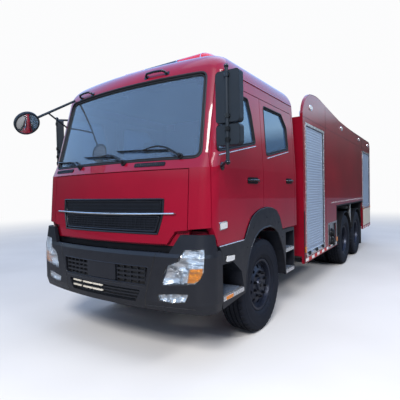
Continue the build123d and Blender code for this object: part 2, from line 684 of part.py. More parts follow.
# ------------------------------------------------------------------ inside the cab
DASH = ((-1165, 1560), (-1165, 1935), (-900, 1915), (-800, 1850), (-820, 1740), (-1000, 1560))
WHEEL_AT = (600.0, -640.0, 1905.0)
WHEEL_TILT = 28.0


def steering_ring():
    """Steering wheel with three spokes, tilted towards the driver."""
    tilt = math.radians(WHEEL_TILT)
    pl = Plane(origin=(WHEEL_AT[0], Y(WHEEL_AT[1]), WHEEL_AT[2]), x_dir=(1, 0, 0),
               z_dir=(0, math.sin(tilt), math.cos(tilt)))
    with BuildPart(pl, mode=Mode.PRIVATE) as ring:
        Torus(218, 16)
        Cylinder(60, 36)
        Box(430, 42, 14)
        with Locations((0, -108, 0)):
            Box(42, 216, 14)
    return ring.part


DASH_BLOCK = common(cab_solid(95, 125, 1140, 2840), side_prism(DASH, -1085, 1085))
STEERING_RING = steering_ring()
with BuildPart() as dashboard:
    add(DASH_BLOCK)
    box(-395, 395, -1150, -1000, 1500, 1600)
    tube((WHEEL_AT[0], -905, 1760), (WHEEL_AT[0], -655, 1893), 28)
    add(STEERING_RING)
save(dashboard, "dashboard")

# seat outline, cushion then back: y, z
FRONT_SEAT = ((-460, FLOOR_Z1), (-480, 1640), (-100, 1640), (30, 2420), (150, 2420), (60, 1560),
              (40, FLOOR_Z1))
REAR_SEAT = ((560, FLOOR_Z1), (540, 1660), (930, 1640), (1000, 2250), (1070, 2250), (1070, FLOOR_Z1))
with BuildPart() as seats:
    for x0, x1 in ((400, 860), (-860, -400)):
        add(side_prism(FRONT_SEAT, x0, x1))
    add(side_prism(REAR_SEAT, -1060, 1060))
save(seats, "seats")

# ------------------------------------------------------------------ mirrors
MIRRORS = (("left", (1425.0, -1250.0), 0.0, (1212, -1000, 1880), (1190, -800, 2672)),
           ("right", (-1449.1, -888.0), -34.0, (-1212, -1000, 1880), (-1190, -640, 2672)))
for side, (x, y), turn, low, top in MIRRORS:
    across = (-math.cos(math.radians(turn)), -math.sin(math.radians(turn)), 0)
    back = (-math.sin(math.radians(turn)), math.cos(math.radians(turn)), 0)
    with BuildPart() as mirror_made:
        with BuildSketch(Plane(origin=(x + 8 * back[0], Y(y + 8 * back[1]), 0), x_dir=across, z_dir=back)):
            with Locations((0, 2444)):
                RectangleRounded(230, 436, 32)
            with Locations((0, 2125)):
                RectangleRounded(230, 178, 32)
        extrude(amount=70)
        tube((x, y, 1898), (x, y, 2690), 15)
        tube((x, y, 1912), low, 13)
        tube((x, y, 2676), top, 13)
        add(CAB_OUT, mode=Mode.SUBTRACT)
    save(mirror_made, "mirror_" + side)

FRONT_MIRROR = (-966.0, -1600.0, 2465.0)
with BuildPart() as front_mirror:
    tube((-985, -940, 2850), (-966, -1575, 2490), 14)
    tube((-975, -1330, 2630), (-1105, -985, 2520), 10)
    x, y, z = FRONT_MIRROR
    tube((x - 12, y + 1, z + 9), (x + 12, y - 1, z - 9), 138)
    add(CAB_OUT, mode=Mode.SUBTRACT)
    add(ROOF_OUT, mode=Mode.SUBTRACT)
save(front_mirror, "front_mirror")

# ------------------------------------------------------------------ light bar
BAR = ((-820, 3135), (-840, 3160), (-760, 3262), (-660, 3285), (660, 3285), (760, 3262),
       (840, 3160), (820, 3135))
with BuildPart() as light_bar:
    add(front_prism(BAR, -430, -150))
    fillet(light_bar.edges().filter_by(Axis.X), 30)
    for x in (-500, 500):
        box(x - 40, x + 40, -340, -240, 3098, 3140)
save(light_bar, "light_bar")

# ------------------------------------------------------------------ rear body
SHUTTER_FRONT = (1475.0, 2494.0, 660.0, 2630.0)     # y0, y1, z0, z1
SHUTTER_REAR = (6460.0, 7600.0, 1150.0, 2630.0)
REAR_DOORWAY = (-620.0, 620.0, 1150.0, 2560.0)      # x0, x1, z0, z1
INLET_POCKET = (2760.0, 3400.0, 572.0, 1010.0)
OPENING_Z = 1300.0                                  # top of the rear wheels' opening


def side_wall(s):
    """One side of the body, with its shutter openings and the pocket for the inlets."""
    x0, x1 = sorted((s * (BODY_W - BODY_WALL), s * BODY_W))
    with BuildPart(mode=Mode.PRIVATE) as wall:
        with BuildSketch(side_plane(x0)):
            with BuildLine():
                Line((Y(1352), BODY_Z0), (Y(1352), 2780))
                ThreePointArc((Y(1352), 2780), (Y(1462), 2990), (Y(1700), 3128))
                ThreePointArc((Y(1700), 3128), (Y(2030), 3170), (Y(2360), 3158))
                ThreePointArc((Y(2360), 3158), (Y(3000), 3098), (Y(3700), 3035))
                ThreePointArc((Y(3700), 3035), (Y(4600), 3008), (Y(5500), 3000))
                Line((Y(5500), 3000), (Y(7520), 3000))
                ThreePointArc((Y(7520), 3000), (Y(7668), 2938), (Y(7730), 2790))
                Line((Y(7730), 2790), (Y(7730), 552))
                Line((Y(7730), 552), (Y(6450), 552))
                Line((Y(6450), 552), (Y(6450), OPENING_Z))
                Line((Y(6450), OPENING_Z), (Y(3459), OPENING_Z))
                Line((Y(3459), OPENING_Z), (Y(3459), BODY_Z0))
                Line((Y(3459), BODY_Z0), (Y(1352), BODY_Z0))
            make_face()
        extrude(amount=x1 - x0)
        for y0, y1, z0, z1 in (SHUTTER_FRONT, SHUTTER_REAR):
            box(x0 - 5, x1 + 5, y0, y1, z0, z1, Mode.SUBTRACT)
        y0, y1, z0, z1 = INLET_POCKET
        p0, p1 = sorted((s * (BODY_W - 22), s * (BODY_W + 5)))
        box(p0, p1, y0, y1, z0, z1, Mode.SUBTRACT)
    return wall.part


WALL_LEFT, WALL_RIGHT = side_wall(1), side_wall(-1)
with BuildPart() as body_sides:
    add(WALL_LEFT)
    add(WALL_RIGHT)
save(body_sides, "body_sides")

with BuildPart() as hose_inlets:
    for s in (1, -1):
        for y, z in ((3080, 820), (3080, 655)):
            tube((s * (BODY_W - 22), y, z), (s * (BODY_W + 40), y, z), INLET_R)
save(hose_inlets, "hose_inlets")

CORE_X = BODY_W - BODY_WALL
CROSS_WALLS = ((1352, 1392), (2530, 2560), (6385, 6415), (7690, 7730))
with BuildPart() as body_core:
    # cross walls, each in three parts round the frame and the deck's edge
    for y0, y1 in CROSS_WALLS:
        box(-CORE_X, CORE_X, y0, y1, 1110.2, DECK_Z - 30.2)
        if y0 > 7000:
            x0, x1, z0, z1 = REAR_DOORWAY
            box(x0, x1, y0 - 5, y1 + 5, z0, z1, Mode.SUBTRACT)
        for s in (1, -1):
            a, b = sorted((s * 525.2, s * CORE_X))
            low = BODY_Z0 + 10 if y0 > 6000 else 650.2
            box(a, b, y0, y1, low, 1110.2)
save(body_core, "body_core")

with BuildPart() as body_deck:
    box(-CORE_X, CORE_X, 1352, 7730, DECK_Z - 30, DECK_Z)
    # hatch collar and the water cannon's base
    with Locations((0, Y(4900), DECK_Z + 28)):
        Cylinder(300, 56)
        Cylinder(270, 120, mode=Mode.SUBTRACT)
    with Locations((0, Y(6950), DECK_Z + 60)):
        Cylinder(110, 120)
    # hatch hinge ears
    for x in (-70, 70):
        box(x - 12, x + 12, 5222, 5275, DECK_Z, 2836)
    tube((-200, 5245, 2815), (200, 5245, 2815), 10.3, Mode.SUBTRACT)
save(body_deck, "body_deck")

with BuildPart() as body_floor:
    # floors: front locker, under the tank, rear room
    box(-525, 525, 1352, 2560, 1082.2, 1110)
    box(-CORE_X, CORE_X, 2560.2, 6384.8, OPENING_Z, OPENING_Z + 30)
    box(-CORE_X, CORE_X, 6415.2, 7689.8, 1082.2, 1110)
    for s in (1, -1):
        # side pockets of the front locker reach below the frame's top
        a, b = sorted((s * 500, s * CORE_X))
        box(a, b, 1352, 2560, 620, 650)
        a, b = sorted((s * 500, s * 525))
        box(a, b, 1352, 2560, 650, 1082)
        # bearers on the rails
        a, b = sorted((s * (RAIL_IN + 2), s * (RAIL_OUT - 2)))
        box(a, b, 1352, 2560, RAIL_Z1, 1082)
        box(a, b, 2560.2, 6384.8, RAIL_Z1, OPENING_Z - 0.2)
        box(a, b, 6385, 7680, RAIL_Z1, 1082)
save(body_floor, "body_floor")

with BuildPart() as tank_hatch:
    with Locations((0, Y(4900), 2816)):
        Cylinder(312, 28)
    box(-52, 52, 5180, 5262, 2802, 2830)
    tube((-84, 5245, 2815), (84, 5245, 2815), 10)
save(tank_hatch, "tank_hatch")

CANNON_Y, CANNON_Z = 6950.0, 3015.0
with BuildPart() as cannon_turret:
    with Locations((0, Y(CANNON_Y), 2913)):
        Cylinder(95, 96)
    for s in (1, -1):
        a, b = sorted((s * 66, s * 92))
        box(a, b, CANNON_Y - 60, CANNON_Y + 60, 2930, 3070)
    tube((-150, CANNON_Y, CANNON_Z), (150, CANNON_Y, CANNON_Z), 20.4, Mode.SUBTRACT)
save(cannon_turret, "cannon_turret")

CANNON_RISE = 10.0      # the barrel's rest angle above level


def along_barrel(d):
    """A point d mm along the raised barrel from its pivot."""
    r = math.radians(CANNON_RISE)
    return (0, CANNON_Y - d * math.cos(r), CANNON_Z + d * math.sin(r))


with BuildPart() as cannon_barrel:
    tube((-104, CANNON_Y, CANNON_Z), (104, CANNON_Y, CANNON_Z), 20)
    tube((-58, CANNON_Y, CANNON_Z), (58, CANNON_Y, CANNON_Z), 50)
    tube(along_barrel(-20), along_barrel(620), 38)
    tube(along_barrel(600), along_barrel(860), 55)
    tube(along_barrel(700), along_barrel(880), 38, Mode.SUBTRACT)
save(cannon_barrel, "cannon_barrel")

# ------------------------------------------------------------------ shutters
with BuildPart() as roller_shutters:
    for s in (1, -1):
        a, b = sorted((s * (BODY_W - 32), s * (BODY_W - 14)))
        for y0, y1, z0, z1 in (SHUTTER_FRONT, SHUTTER_REAR):
            box(a, b, y0, y1, z0, z1)
    x0, x1, z0, z1 = REAR_DOORWAY
    box(x0, x1, 7698, 7716, z0, z1)
save(roller_shutters, "roller_shutters")

# ------------------------------------------------------------------ rear fenders, bumper, ladder
FENDER_R0, FENDER_R1 = 600.0, 612.0

def fender(s, ya, flap):
    """Half-round fender over one rear wheel with its bracket to the frame rail."""
    x0, x1 = sorted((s * 560, s * 1232))
    pl = Plane(origin=(x0, Y(ya), WHEEL_Z), x_dir=(0, 1, 0), z_dir=(1, 0, 0))
    span = (Align.CENTER, Align.CENTER, Align.MIN)
    with BuildPart(pl, mode=Mode.PRIVATE) as arch:
        Cylinder(FENDER_R1, x1 - x0, align=span)
        Cylinder(FENDER_R0, x1 - x0, align=span, mode=Mode.SUBTRACT)
    keep = side_prism(((ya - 640, 740), (ya - 640, 1200), (ya + 640, 1200), (ya + 640, 740)), x0, x1)
    with BuildPart(mode=Mode.PRIVATE) as one:
        add(arch.part)
        add(keep, mode=Mode.INTERSECT)
        a, b = sorted((s * RAIL_OUT, s * 565))
        box(a, b, ya - 25, ya + 25, 990, 1040)
        a, b = sorted((s * 545, s * 567))
        box(a, b, ya - 25, ya + 25, 990, 1150)
        if flap:
            a, b = sorted((s * 580, s * 1225))
            box(a, b, ya + 566, ya + 580, 190, 752)
    return one.part


FENDERS = [fender(s, ya, ya > BOGIE_Y) for s in (1, -1) for ya in REAR_AXLES]
with BuildPart() as rear_fenders:
    for made in FENDERS:
        add(made)
save(rear_fenders, "rear_fenders")

with BuildPart() as rear_bumper:
    box(-1200, 1200, 7732, 7850, 500, 640)
    for s in (1, -1):
        a, b = sorted((s * 352, s * 428))
        box(a, b, 7560, 7740, 560, RAIL_Z0)
    # towing block with its pin hole
    box(-90, 90, 7740, 7850, 440, 505)
    with Locations((0, Y(7798), 540)):
        Cylinder(TOW_PIN_R, 300, mode=Mode.SUBTRACT)
save(rear_bumper, "rear_bumper")

LADDER_X0, LADDER_X1 = -1150.0, -760.0
with BuildPart() as rear_ladder:
    for x in (LADDER_X0, LADDER_X1):
        tube((x, 7815, 700), (x, 7815, 3060), 18)
        for z in (760, 1900, 2700):
            tube((x, 7730, z), (x, 7815, z), 12)
    for i in range(8):
        z = 760 + 300 * i
        tube((LADDER_X0, 7815, z), (LADDER_X1, 7815, z), 14)
save(rear_ladder, "rear_ladder")
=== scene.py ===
import math
import random

import bmesh
import bpy
from mathutils import Matrix, Vector


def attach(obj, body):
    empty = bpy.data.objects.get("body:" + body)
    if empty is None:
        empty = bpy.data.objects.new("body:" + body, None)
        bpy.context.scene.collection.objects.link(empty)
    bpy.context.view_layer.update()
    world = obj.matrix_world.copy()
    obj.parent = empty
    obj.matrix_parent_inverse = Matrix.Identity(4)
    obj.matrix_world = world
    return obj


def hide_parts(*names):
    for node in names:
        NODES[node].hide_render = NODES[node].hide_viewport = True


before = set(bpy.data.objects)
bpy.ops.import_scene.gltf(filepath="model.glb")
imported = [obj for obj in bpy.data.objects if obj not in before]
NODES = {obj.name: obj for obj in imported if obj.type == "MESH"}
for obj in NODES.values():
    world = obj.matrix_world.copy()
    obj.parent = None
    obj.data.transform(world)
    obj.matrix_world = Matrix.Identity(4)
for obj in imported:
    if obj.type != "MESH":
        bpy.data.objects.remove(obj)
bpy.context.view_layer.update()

# Six-wheel fire truck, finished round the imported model.  Metres.
# Tables give y from the front axle; Y() turns that into the frame's y.

random.seed(7)
FA = -3.055
WHEEL_Z = 0.540
REAR_AXLES = (4.350, 5.700)


def Y(y):
    return FA + y


def P(x, y, z):
    return Vector((x, FA + y, z))


# ------------------------------------------------------------------ materials
def new_mat(name):
    m = bpy.data.materials.new(name)
    m.use_nodes = True
    nt = m.node_tree
    nt.nodes.clear()
    out = nt.nodes.new("ShaderNodeOutputMaterial")
    b = nt.nodes.new("ShaderNodeBsdfPrincipled")
    nt.links.new(b.outputs[0], out.inputs[0])
    return m, nt, b


def coords(nt):
    return nt.nodes.new("ShaderNodeNewGeometry").outputs["Position"]


def noise(nt, vec, scale, detail=3.0, rough=0.5, stretch=None):
    if stretch:
        mp = nt.nodes.new("ShaderNodeMapping")
        mp.inputs["Scale"].default_value = stretch
        nt.links.new(vec, mp.inputs[0])
        vec = mp.outputs[0]
    n = nt.nodes.new("ShaderNodeTexNoise")
    n.inputs["Scale"].default_value = scale
    n.inputs["Detail"].default_value = detail
    n.inputs["Roughness"].default_value = rough
    nt.links.new(vec, n.inputs["Vector"])
    return n.outputs["Fac"]


def ramp(nt, fac, stops):
    r = nt.nodes.new("ShaderNodeValToRGB")
    while len(r.color_ramp.elements) < len(stops):
        r.color_ramp.elements.new(0.5)
    for e, (pos, col) in zip(r.color_ramp.elements, stops):
        e.position = pos
        e.color = (*col, 1) if len(col) == 3 else col
    nt.links.new(fac, r.inputs[0])
    return r.outputs[0]


def grey(v):
    return (v, v, v)


def mix(nt, fac, a, b):
    m = nt.nodes.new("ShaderNodeMix")
    m.data_type = "RGBA"
    if isinstance(fac, float):
        m.inputs[0].default_value = fac
    else:
        nt.links.new(fac, m.inputs[0])
    for sock, v in ((m.inputs[6], a), (m.inputs[7], b)):
        if isinstance(v, tuple):
            sock.default_value = (*v, 1)
        else:
            nt.links.new(v, sock)
    return m.outputs[2]


def bump(nt, b, height, strength, distance):
    n = nt.nodes.new("ShaderNodeBump")
    n.inputs["Strength"].default_value = strength
    n.inputs["Distance"].default_value = distance
    nt.links.new(height, n.inputs["Height"])
    nt.links.new(n.outputs[0], b.inputs["Normal"])


def low_dust(nt, vec, z0, z1, amount):
    """A value that grows towards the road: splash dust on the lower body."""
    sep = nt.nodes.new("ShaderNodeSeparateXYZ")
    nt.links.new(vec, sep.inputs[0])
    mr = nt.nodes.new("ShaderNodeMapRange")
    mr.inputs["From Min"].default_value = z1
    mr.inputs["From Max"].default_value = z0
    mr.inputs["To Min"].default_value = 0.0
    mr.inputs["To Max"].default_value = amount
    nt.links.new(sep.outputs["Z"], mr.inputs["Value"])
    mul = nt.nodes.new("ShaderNodeMath")
    mul.operation = "MULTIPLY"
    nt.links.new(mr.outputs[0], mul.inputs[0])
    nt.links.new(noise(nt, vec, 9.0, 5.0, 0.65), mul.inputs[1])
    return mul.outputs[0]


def paint(name, base, dark, rough=0.32, coat=0.9, dust=0.2):
    m, nt, b = new_mat(name)
    v = coords(nt)
    c = ramp(nt, noise(nt, v, 1.3, 4.0), ((0.35, dark), (0.65, base)))
    fine = ramp(nt, noise(nt, v, 900.0, 1.0), ((0.3, grey(0.92)), (0.7, grey(1.0))))
    mul = nt.nodes.new("ShaderNodeMix")
    mul.data_type = "RGBA"
    mul.blend_type = "MULTIPLY"
    mul.inputs[0].default_value = 1.0
    nt.links.new(c, mul.inputs[6])
    nt.links.new(fine, mul.inputs[7])
    d = low_dust(nt, v, 0.45, 1.5, dust)
    nt.links.new(mix(nt, d, mul.outputs[2], (0.30, 0.25, 0.21)), b.inputs["Base Color"])
    rr = nt.nodes.new("ShaderNodeMapRange")
    rr.inputs["To Min"].default_value = rough
    rr.inputs["To Max"].default_value = 0.6
    nt.links.new(d, rr.inputs["Value"])
    nt.links.new(rr.outputs[0], b.inputs["Roughness"])
    b.inputs["Specular IOR Level"].default_value = 0.15
    b.inputs["Coat Weight"].default_value = coat
    b.inputs["Coat Roughness"].default_value = 0.03
    b.inputs["Coat IOR"].default_value = 1.38
    bump(nt, b, noise(nt, v, 140.0, 2.0), 0.015, 0.002)
    return m


def plastic(name, base, rough=0.5, grain=1400.0, strength=0.12, dust=0.35, coat=0.0):
    m, nt, b = new_mat(name)
    v = coords(nt)
    lo = tuple(c * 0.8 for c in base)
    c = ramp(nt, noise(nt, v, 3.0, 4.0), ((0.3, lo), (0.7, base)))
    d = low_dust(nt, v, 0.2, 1.3, dust)
    nt.links.new(mix(nt, d, c, (0.22, 0.20, 0.18)), b.inputs["Base Color"])
    rr = ramp(nt, noise(nt, v, 12.0, 4.0), ((0.3, grey(rough - 0.06)), (0.7, grey(rough + 0.08))))
    nt.links.new(rr, b.inputs["Roughness"])
    b.inputs["Coat Weight"].default_value = coat
    b.inputs["Specular IOR Level"].default_value = 0.22
    bump(nt, b, noise(nt, v, grain, 2.0), strength, 0.0006)
    return m


def metal(name, base, rough=0.3, stretch=(1.0, 1.0, 40.0), scale=30.0, strength=0.05, dust=0.0, shine=1.0):
    m, nt, b = new_mat(name)
    v = coords(nt)
    n = noise(nt, v, scale, 4.0, 0.6, stretch)
    lo = tuple(c * 0.86 for c in base)
    c = ramp(nt, n, ((0.3, lo), (0.7, base)))
    if dust:
        c = mix(nt, low_dust(nt, v, 0.2, 1.2, dust), c, (0.25, 0.22, 0.2))
    nt.links.new(c, b.inputs["Base Color"])
    rr = ramp(nt, n, ((0.3, grey(max(rough - 0.06, 0.02))), (0.7, grey(rough + 0.08))))
    nt.links.new(rr, b.inputs["Roughness"])
    b.inputs["Metallic"].default_value = shine
    bump(nt, b, n, strength, 0.001)
    return m


def glass(name, base, rough=0.02, ior=1.45, smear=True, tint=None, clear=1.0):
    m, nt, b = new_mat(name)
    v = coords(nt)
    b.inputs["Transmission Weight"].default_value = clear
    b.inputs["IOR"].default_value = ior
    if tint:
        b.inputs["Specular Tint"].default_value = (*tint, 1)
    lo = tuple(c * 0.93 for c in base)
    nt.links.new(ramp(nt, noise(nt, v, 2.0, 3.0), ((0.3, lo), (0.7, base))), b.inputs["Base Color"])
    if smear:
        rr = ramp(nt, noise(nt, v, 6.0, 5.0, 0.6), ((0.4, grey(rough)), (0.8, grey(rough + 0.05))))
        nt.links.new(rr, b.inputs["Roughness"])
    return m


def lens(name, base, rough=0.12, trans=0.6, emit=0.0):
    """Coloured lamp plastic with fine ribs."""
    m, nt, b = new_mat(name)
    v = coords(nt)
    w = nt.nodes.new("ShaderNodeTexWave")
    w.inputs["Scale"].default_value = 38.0
    w.bands_direction = "Z"
    nt.links.new(v, w.inputs["Vector"])
    lo = tuple(c * 0.7 for c in base)
    nt.links.new(ramp(nt, w.outputs["Fac"], ((0.2, lo), (0.8, base))), b.inputs["Base Color"])
    b.inputs["Roughness"].default_value = rough
    b.inputs["Transmission Weight"].default_value = trans
    b.inputs["Coat Weight"].default_value = 0.6
    if emit:
        b.inputs["Emission Color"].default_value = (*base, 1)
        b.inputs["Emission Strength"].default_value = emit
    bump(nt, b, w.outputs["Fac"], 0.3, 0.002)
    return m


def rubber(name, base=(0.02, 0.02, 0.021), rough=0.72, dust=0.4):
    m, nt, b = new_mat(name)
    v = coords(nt)
    c = ramp(nt, noise(nt, v, 16.0, 5.0), ((0.3, tuple(x * 0.75 for x in base)), (0.7, base)))
    n = noise(nt, v, 5.0, 6.0, 0.7)
    mul = nt.nodes.new("ShaderNodeMath")
    mul.operation = "MULTIPLY"
    mul.inputs[1].default_value = dust * 0.35
    nt.links.new(n, mul.inputs[0])
    nt.links.new(mix(nt, mul.outputs[0], c, (0.07, 0.065, 0.065)), b.inputs["Base Color"])
    b.inputs["Roughness"].default_value = rough
    b.inputs["Specular IOR Level"].default_value = 0.2
    bump(nt, b, noise(nt, v, 420.0, 3.0), 0.2, 0.0012)
    return m


def checker_plate(name):
    """Aluminium tread plate: crossed raised bars."""
    m, nt, b = new_mat(name)
    v = coords(nt)
    outs = []
    for rot in (0.785, -0.785):
        mp = nt.nodes.new("ShaderNodeMapping")
        mp.inputs["Rotation"].default_value = (0, 0, rot)
        mp.inputs["Scale"].default_value = (34.0, 11.0, 11.0)
        nt.links.new(v, mp.inputs[0])
        vo = nt.nodes.new("ShaderNodeTexVoronoi")
        vo.inputs["Randomness"].default_value = 0.0
        vo.inputs["Scale"].default_value = 1.0
        nt.links.new(mp.outputs[0], vo.inputs["Vector"])
        outs.append(vo.outputs["Distance"])
    mn = nt.nodes.new("ShaderNodeMath")
    mn.operation = "MINIMUM"
    nt.links.new(outs[0], mn.inputs[0])
    nt.links.new(outs[1], mn.inputs[1])
    h = ramp(nt, mn.outputs[0], ((0.18, grey(1.0)), (0.32, grey(0.0))))
    c = ramp(nt, noise(nt, v, 5.0, 5.0), ((0.3, (0.46, 0.47, 0.48)), (0.7, (0.66, 0.67, 0.68))))
    nt.links.new(c, b.inputs["Base Color"])
    b.inputs["Metallic"].default_value = 1.0
    b.inputs["Roughness"].default_value = 0.36
    bump(nt, b, h, 0.8, 0.003)
    return m


def cloth(name, base):
    m, nt, b = new_mat(name)
    v = coords(nt)
    w1 = nt.nodes.new("ShaderNodeTexWave")
    w1.inputs["Scale"].default_value = 190.0
    w1.bands_direction = "X"
    nt.links.new(v, w1.inputs["Vector"])
    w2 = nt.nodes.new("ShaderNodeTexWave")
    w2.inputs["Scale"].default_value = 190.0
    w2.bands_direction = "Z"
    nt.links.new(v, w2.inputs["Vector"])
    mx = nt.nodes.new("ShaderNodeMath")
    mx.operation = "MULTIPLY"
    nt.links.new(w1.outputs["Fac"], mx.inputs[0])
    nt.links.new(w2.outputs["Fac"], mx.inputs[1])
    nt.links.new(ramp(nt, noise(nt, v, 9.0, 5.0), ((0.3, tuple(x * 0.75 for x in base)), (0.7, base))),
                 b.inputs["Base Color"])
    b.inputs["Roughness"].default_value = 0.9
    b.inputs["Sheen Weight"].default_value = 0.3
    bump(nt, b, mx.outputs[0], 0.3, 0.0012)
    return m


def engine_cast(name):
    m, nt, b = new_mat(name)
    v = coords(nt)
    c = ramp(nt, noise(nt, v, 7.0, 6.0, 0.7), ((0.3, (0.05, 0.052, 0.055)), (0.7, (0.13, 0.13, 0.13))))
    nt.links.new(c, b.inputs["Base Color"])
    b.inputs["Metallic"].default_value = 0.4
    b.inputs["Roughness"].default_value = 0.62
    bump(nt, b, noise(nt, v, 60.0, 5.0), 0.35, 0.004)
    return m


RED = paint("crimson_paint", (0.255, 0.0028, 0.020), (0.205, 0.0020, 0.016), rough=0.34, coat=0.9, dust=0.03)
RED_BODY = paint("body_red_paint", (0.235, 0.0030, 0.016), (0.185, 0.0022, 0.012), rough=0.30, coat=0.9, dust=0.03)
GREY_PLASTIC = plastic("grey_moulded_plastic", (0.010, 0.012, 0.018), rough=0.42, dust=0.05, coat=0.35)
DARK_PLASTIC = plastic("dark_moulded_plastic", (0.006, 0.007, 0.010), rough=0.40, dust=0.1)
BLACK_GLOSS = plastic("black_gloss_plastic", (0.006, 0.007, 0.009), rough=0.25, strength=0.03, coat=0.5)
MIRROR_CASE = plastic("mirror_case_plastic", (0.017, 0.024, 0.033), rough=0.5, dust=0.0)
TREAD_GREY = plastic("step_tread_plastic", (0.07, 0.10, 0.15), rough=0.6, grain=500.0, strength=0.4)
SEAL = rubber("window_seal_rubber", (0.016, 0.017, 0.020), 0.5, 0.1)
TYRE = rubber("tyre_rubber", (0.006, 0.0085, 0.016), 0.66, 0.18)
FLAP = rubber("mud_flap_rubber", (0.008, 0.009, 0.011), 0.62, 0.25)
# The rims' blue-grey is partly their dark enamel and partly a painted bluish sheen.
RIM = metal("rim_dark_enamel", (0.020, 0.026, 0.046), 0.34, (1, 1, 1), 14.0, 0.03, dust=0.06, shine=0.8)
RIM.node_tree.nodes["Principled BSDF"].inputs["Metallic"].default_value = 0.55
SHUTTER = metal("shutter_aluminium", (0.40, 0.49, 0.62), 0.34, (1.0, 60.0, 1.0), 6.0, 0.02, shine=0.45)
FRAME_ALU = metal("frame_aluminium", (0.80, 0.82, 0.85), 0.24, (1.0, 1.0, 1.0), 30.0, 0.02, shine=0.8)
ALU = metal("satin_aluminium", (0.72, 0.74, 0.76), 0.30, (40.0, 1.0, 1.0), 8.0, 0.04)
CREAM = paint("cream_panel_paint", (0.72, 0.68, 0.58), (0.64, 0.60, 0.50), rough=0.4, coat=0.3)
CHROME = metal("bright_chrome", (0.95, 0.95, 0.96), 0.16, (1, 1, 1), 20.0, 0.0)
STEEL = metal("bolt_steel", (0.42, 0.43, 0.45), 0.38, (1, 1, 1), 60.0, 0.05, dust=0.4)
CHASSIS = paint("chassis_enamel", (0.010, 0.011, 0.014), (0.007, 0.008, 0.010), rough=0.5, coat=0.15, dust=0.12)
CAST = engine_cast("cast_iron_grey")
# The blue base colour and blue specular tint of the windscreen and door glass are partly the glass's own tint and
# partly a painted reflection of blue sky.
WINDSCREEN = glass("windscreen_glass", (0.30, 0.42, 0.56), 0.0, 1.7, tint=(0.75, 0.87, 1.0), clear=0.84)
WINDOW = glass("door_window_glass", (0.10, 0.22, 0.42), 0.0, 2.5, tint=(0.70, 0.90, 1.0), clear=0.58)
CLEAR = glass("lamp_cover_glass", (0.98, 0.99, 1.0), 0.0, 1.2, smear=False)
REFLECTOR = metal("lamp_reflector", (0.90, 0.93, 0.97), 0.08, (1, 1, 1), 30.0, 0.0)
HOUSING = metal("lamp_housing_metal", (0.16, 0.18, 0.21), 0.16, (1, 1, 1), 30.0, 0.0)
DARK_STEEL = metal("wheel_nut_steel", (0.045, 0.05, 0.065), 0.36, (1, 1, 1), 60.0, 0.05, dust=0.1)
AMBER = lens("amber_lens", (1.0, 0.34, 0.02), emit=0.12)
RED_LENS = lens("red_lens", (0.80, 0.010, 0.012), emit=0.05)
RED_BAR = lens("light_bar_lens", (0.85, 0.02, 0.03), rough=0.16, trans=0.35, emit=0.08)
WHITE_LENS = lens("white_lens", (0.86, 0.88, 0.90), trans=0.2)
WHITE_MARK = plastic("white_reflective_film", (0.80, 0.80, 0.80), rough=0.35, strength=0.03, dust=0.1)
RED_MARK = plastic("red_reflective_film", (0.55, 0.02, 0.02), rough=0.35, strength=0.03, dust=0.1)
PLATE = checker_plate("tread_plate_aluminium")
SEAT = cloth("seat_cloth", (0.055, 0.060, 0.072))
DASH = plastic("dashboard_plastic", (0.075, 0.08, 0.09), rough=0.6, grain=700.0, strength=0.3, dust=0.0)
INNER = plastic("cab_lining_plastic", (0.30, 0.30, 0.30), rough=0.7, grain=500.0, strength=0.2, dust=0.0)
MIRROR, _nt, _b = new_mat("mirror_glass")
_b.inputs["Metallic"].default_value = 1.0
_b.inputs["Base Color"].default_value = (0.85, 0.88, 0.9, 1)
_nt.links.new(ramp(_nt, noise(_nt, coords(_nt), 8.0, 4.0), ((0.4, grey(0.01)), (0.8, grey(0.05)))),
              _b.inputs["Roughness"])

for node, m in {
    "cab_shell": RED, "cab_roof": RED, "windshield": WINDSCREEN, "rear_window": WINDOW,
    "front_flap": RED, "grille": DARK_PLASTIC, "front_door_left": RED, "front_door_right": RED,
    "rear_door_left": RED, "rear_door_right": RED, "front_door_glass_left": WINDOW,
    "front_door_glass_right": WINDOW, "rear_door_glass_left": WINDOW, "rear_door_glass_right": WINDOW,
    "front_bumper": GREY_PLASTIC, "headlamps": CLEAR, "arches_and_steps": GREY_PLASTIC,
    "frame_rails": CHASSIS, "cross_members": CHASSIS, "front_axle": CHASSIS, "knuckle_left": CAST, "knuckle_right": CAST,
    "tie_rod": CAST, "front_tyre_left": TYRE, "front_tyre_right": TYRE, "front_rim_left": RIM,
    "front_rim_right": RIM, "rear_tyres_1_left": TYRE, "rear_tyres_1_right": TYRE,
    "rear_tyres_2_left": TYRE, "rear_tyres_2_right": TYRE, "rear_rims_1_left": RIM,
    "rear_rims_1_right": RIM, "rear_rims_2_left": RIM, "rear_rims_2_right": RIM,
    "rear_bogie": CHASSIS, "engine": CAST, "radiator": ALU, "drive_shafts": CHASSIS,
    "fuel_tank": ALU, "air_tanks": CHASSIS, "dashboard": DASH, "seats": SEAT,
    "mirror_left": MIRROR_CASE, "mirror_right": MIRROR_CASE, "front_mirror": MIRROR_CASE,
    "light_bar": RED_BAR, "body_sides": RED_BODY, "body_core": RED_BODY,
    "body_deck": RED_BODY, "body_floor": CHASSIS, "hose_inlets": DARK_PLASTIC,
    "tank_hatch": ALU, "cannon_turret": RED, "cannon_barrel": RED, "roller_shutters": SHUTTER,
    "rear_fenders": FLAP, "rear_bumper": GREY_PLASTIC, "rear_ladder": ALU,
}.items():
    if node not in NODES:
        continue
    o = NODES[node]
    o.data.materials.clear()
    o.data.materials.append(m)


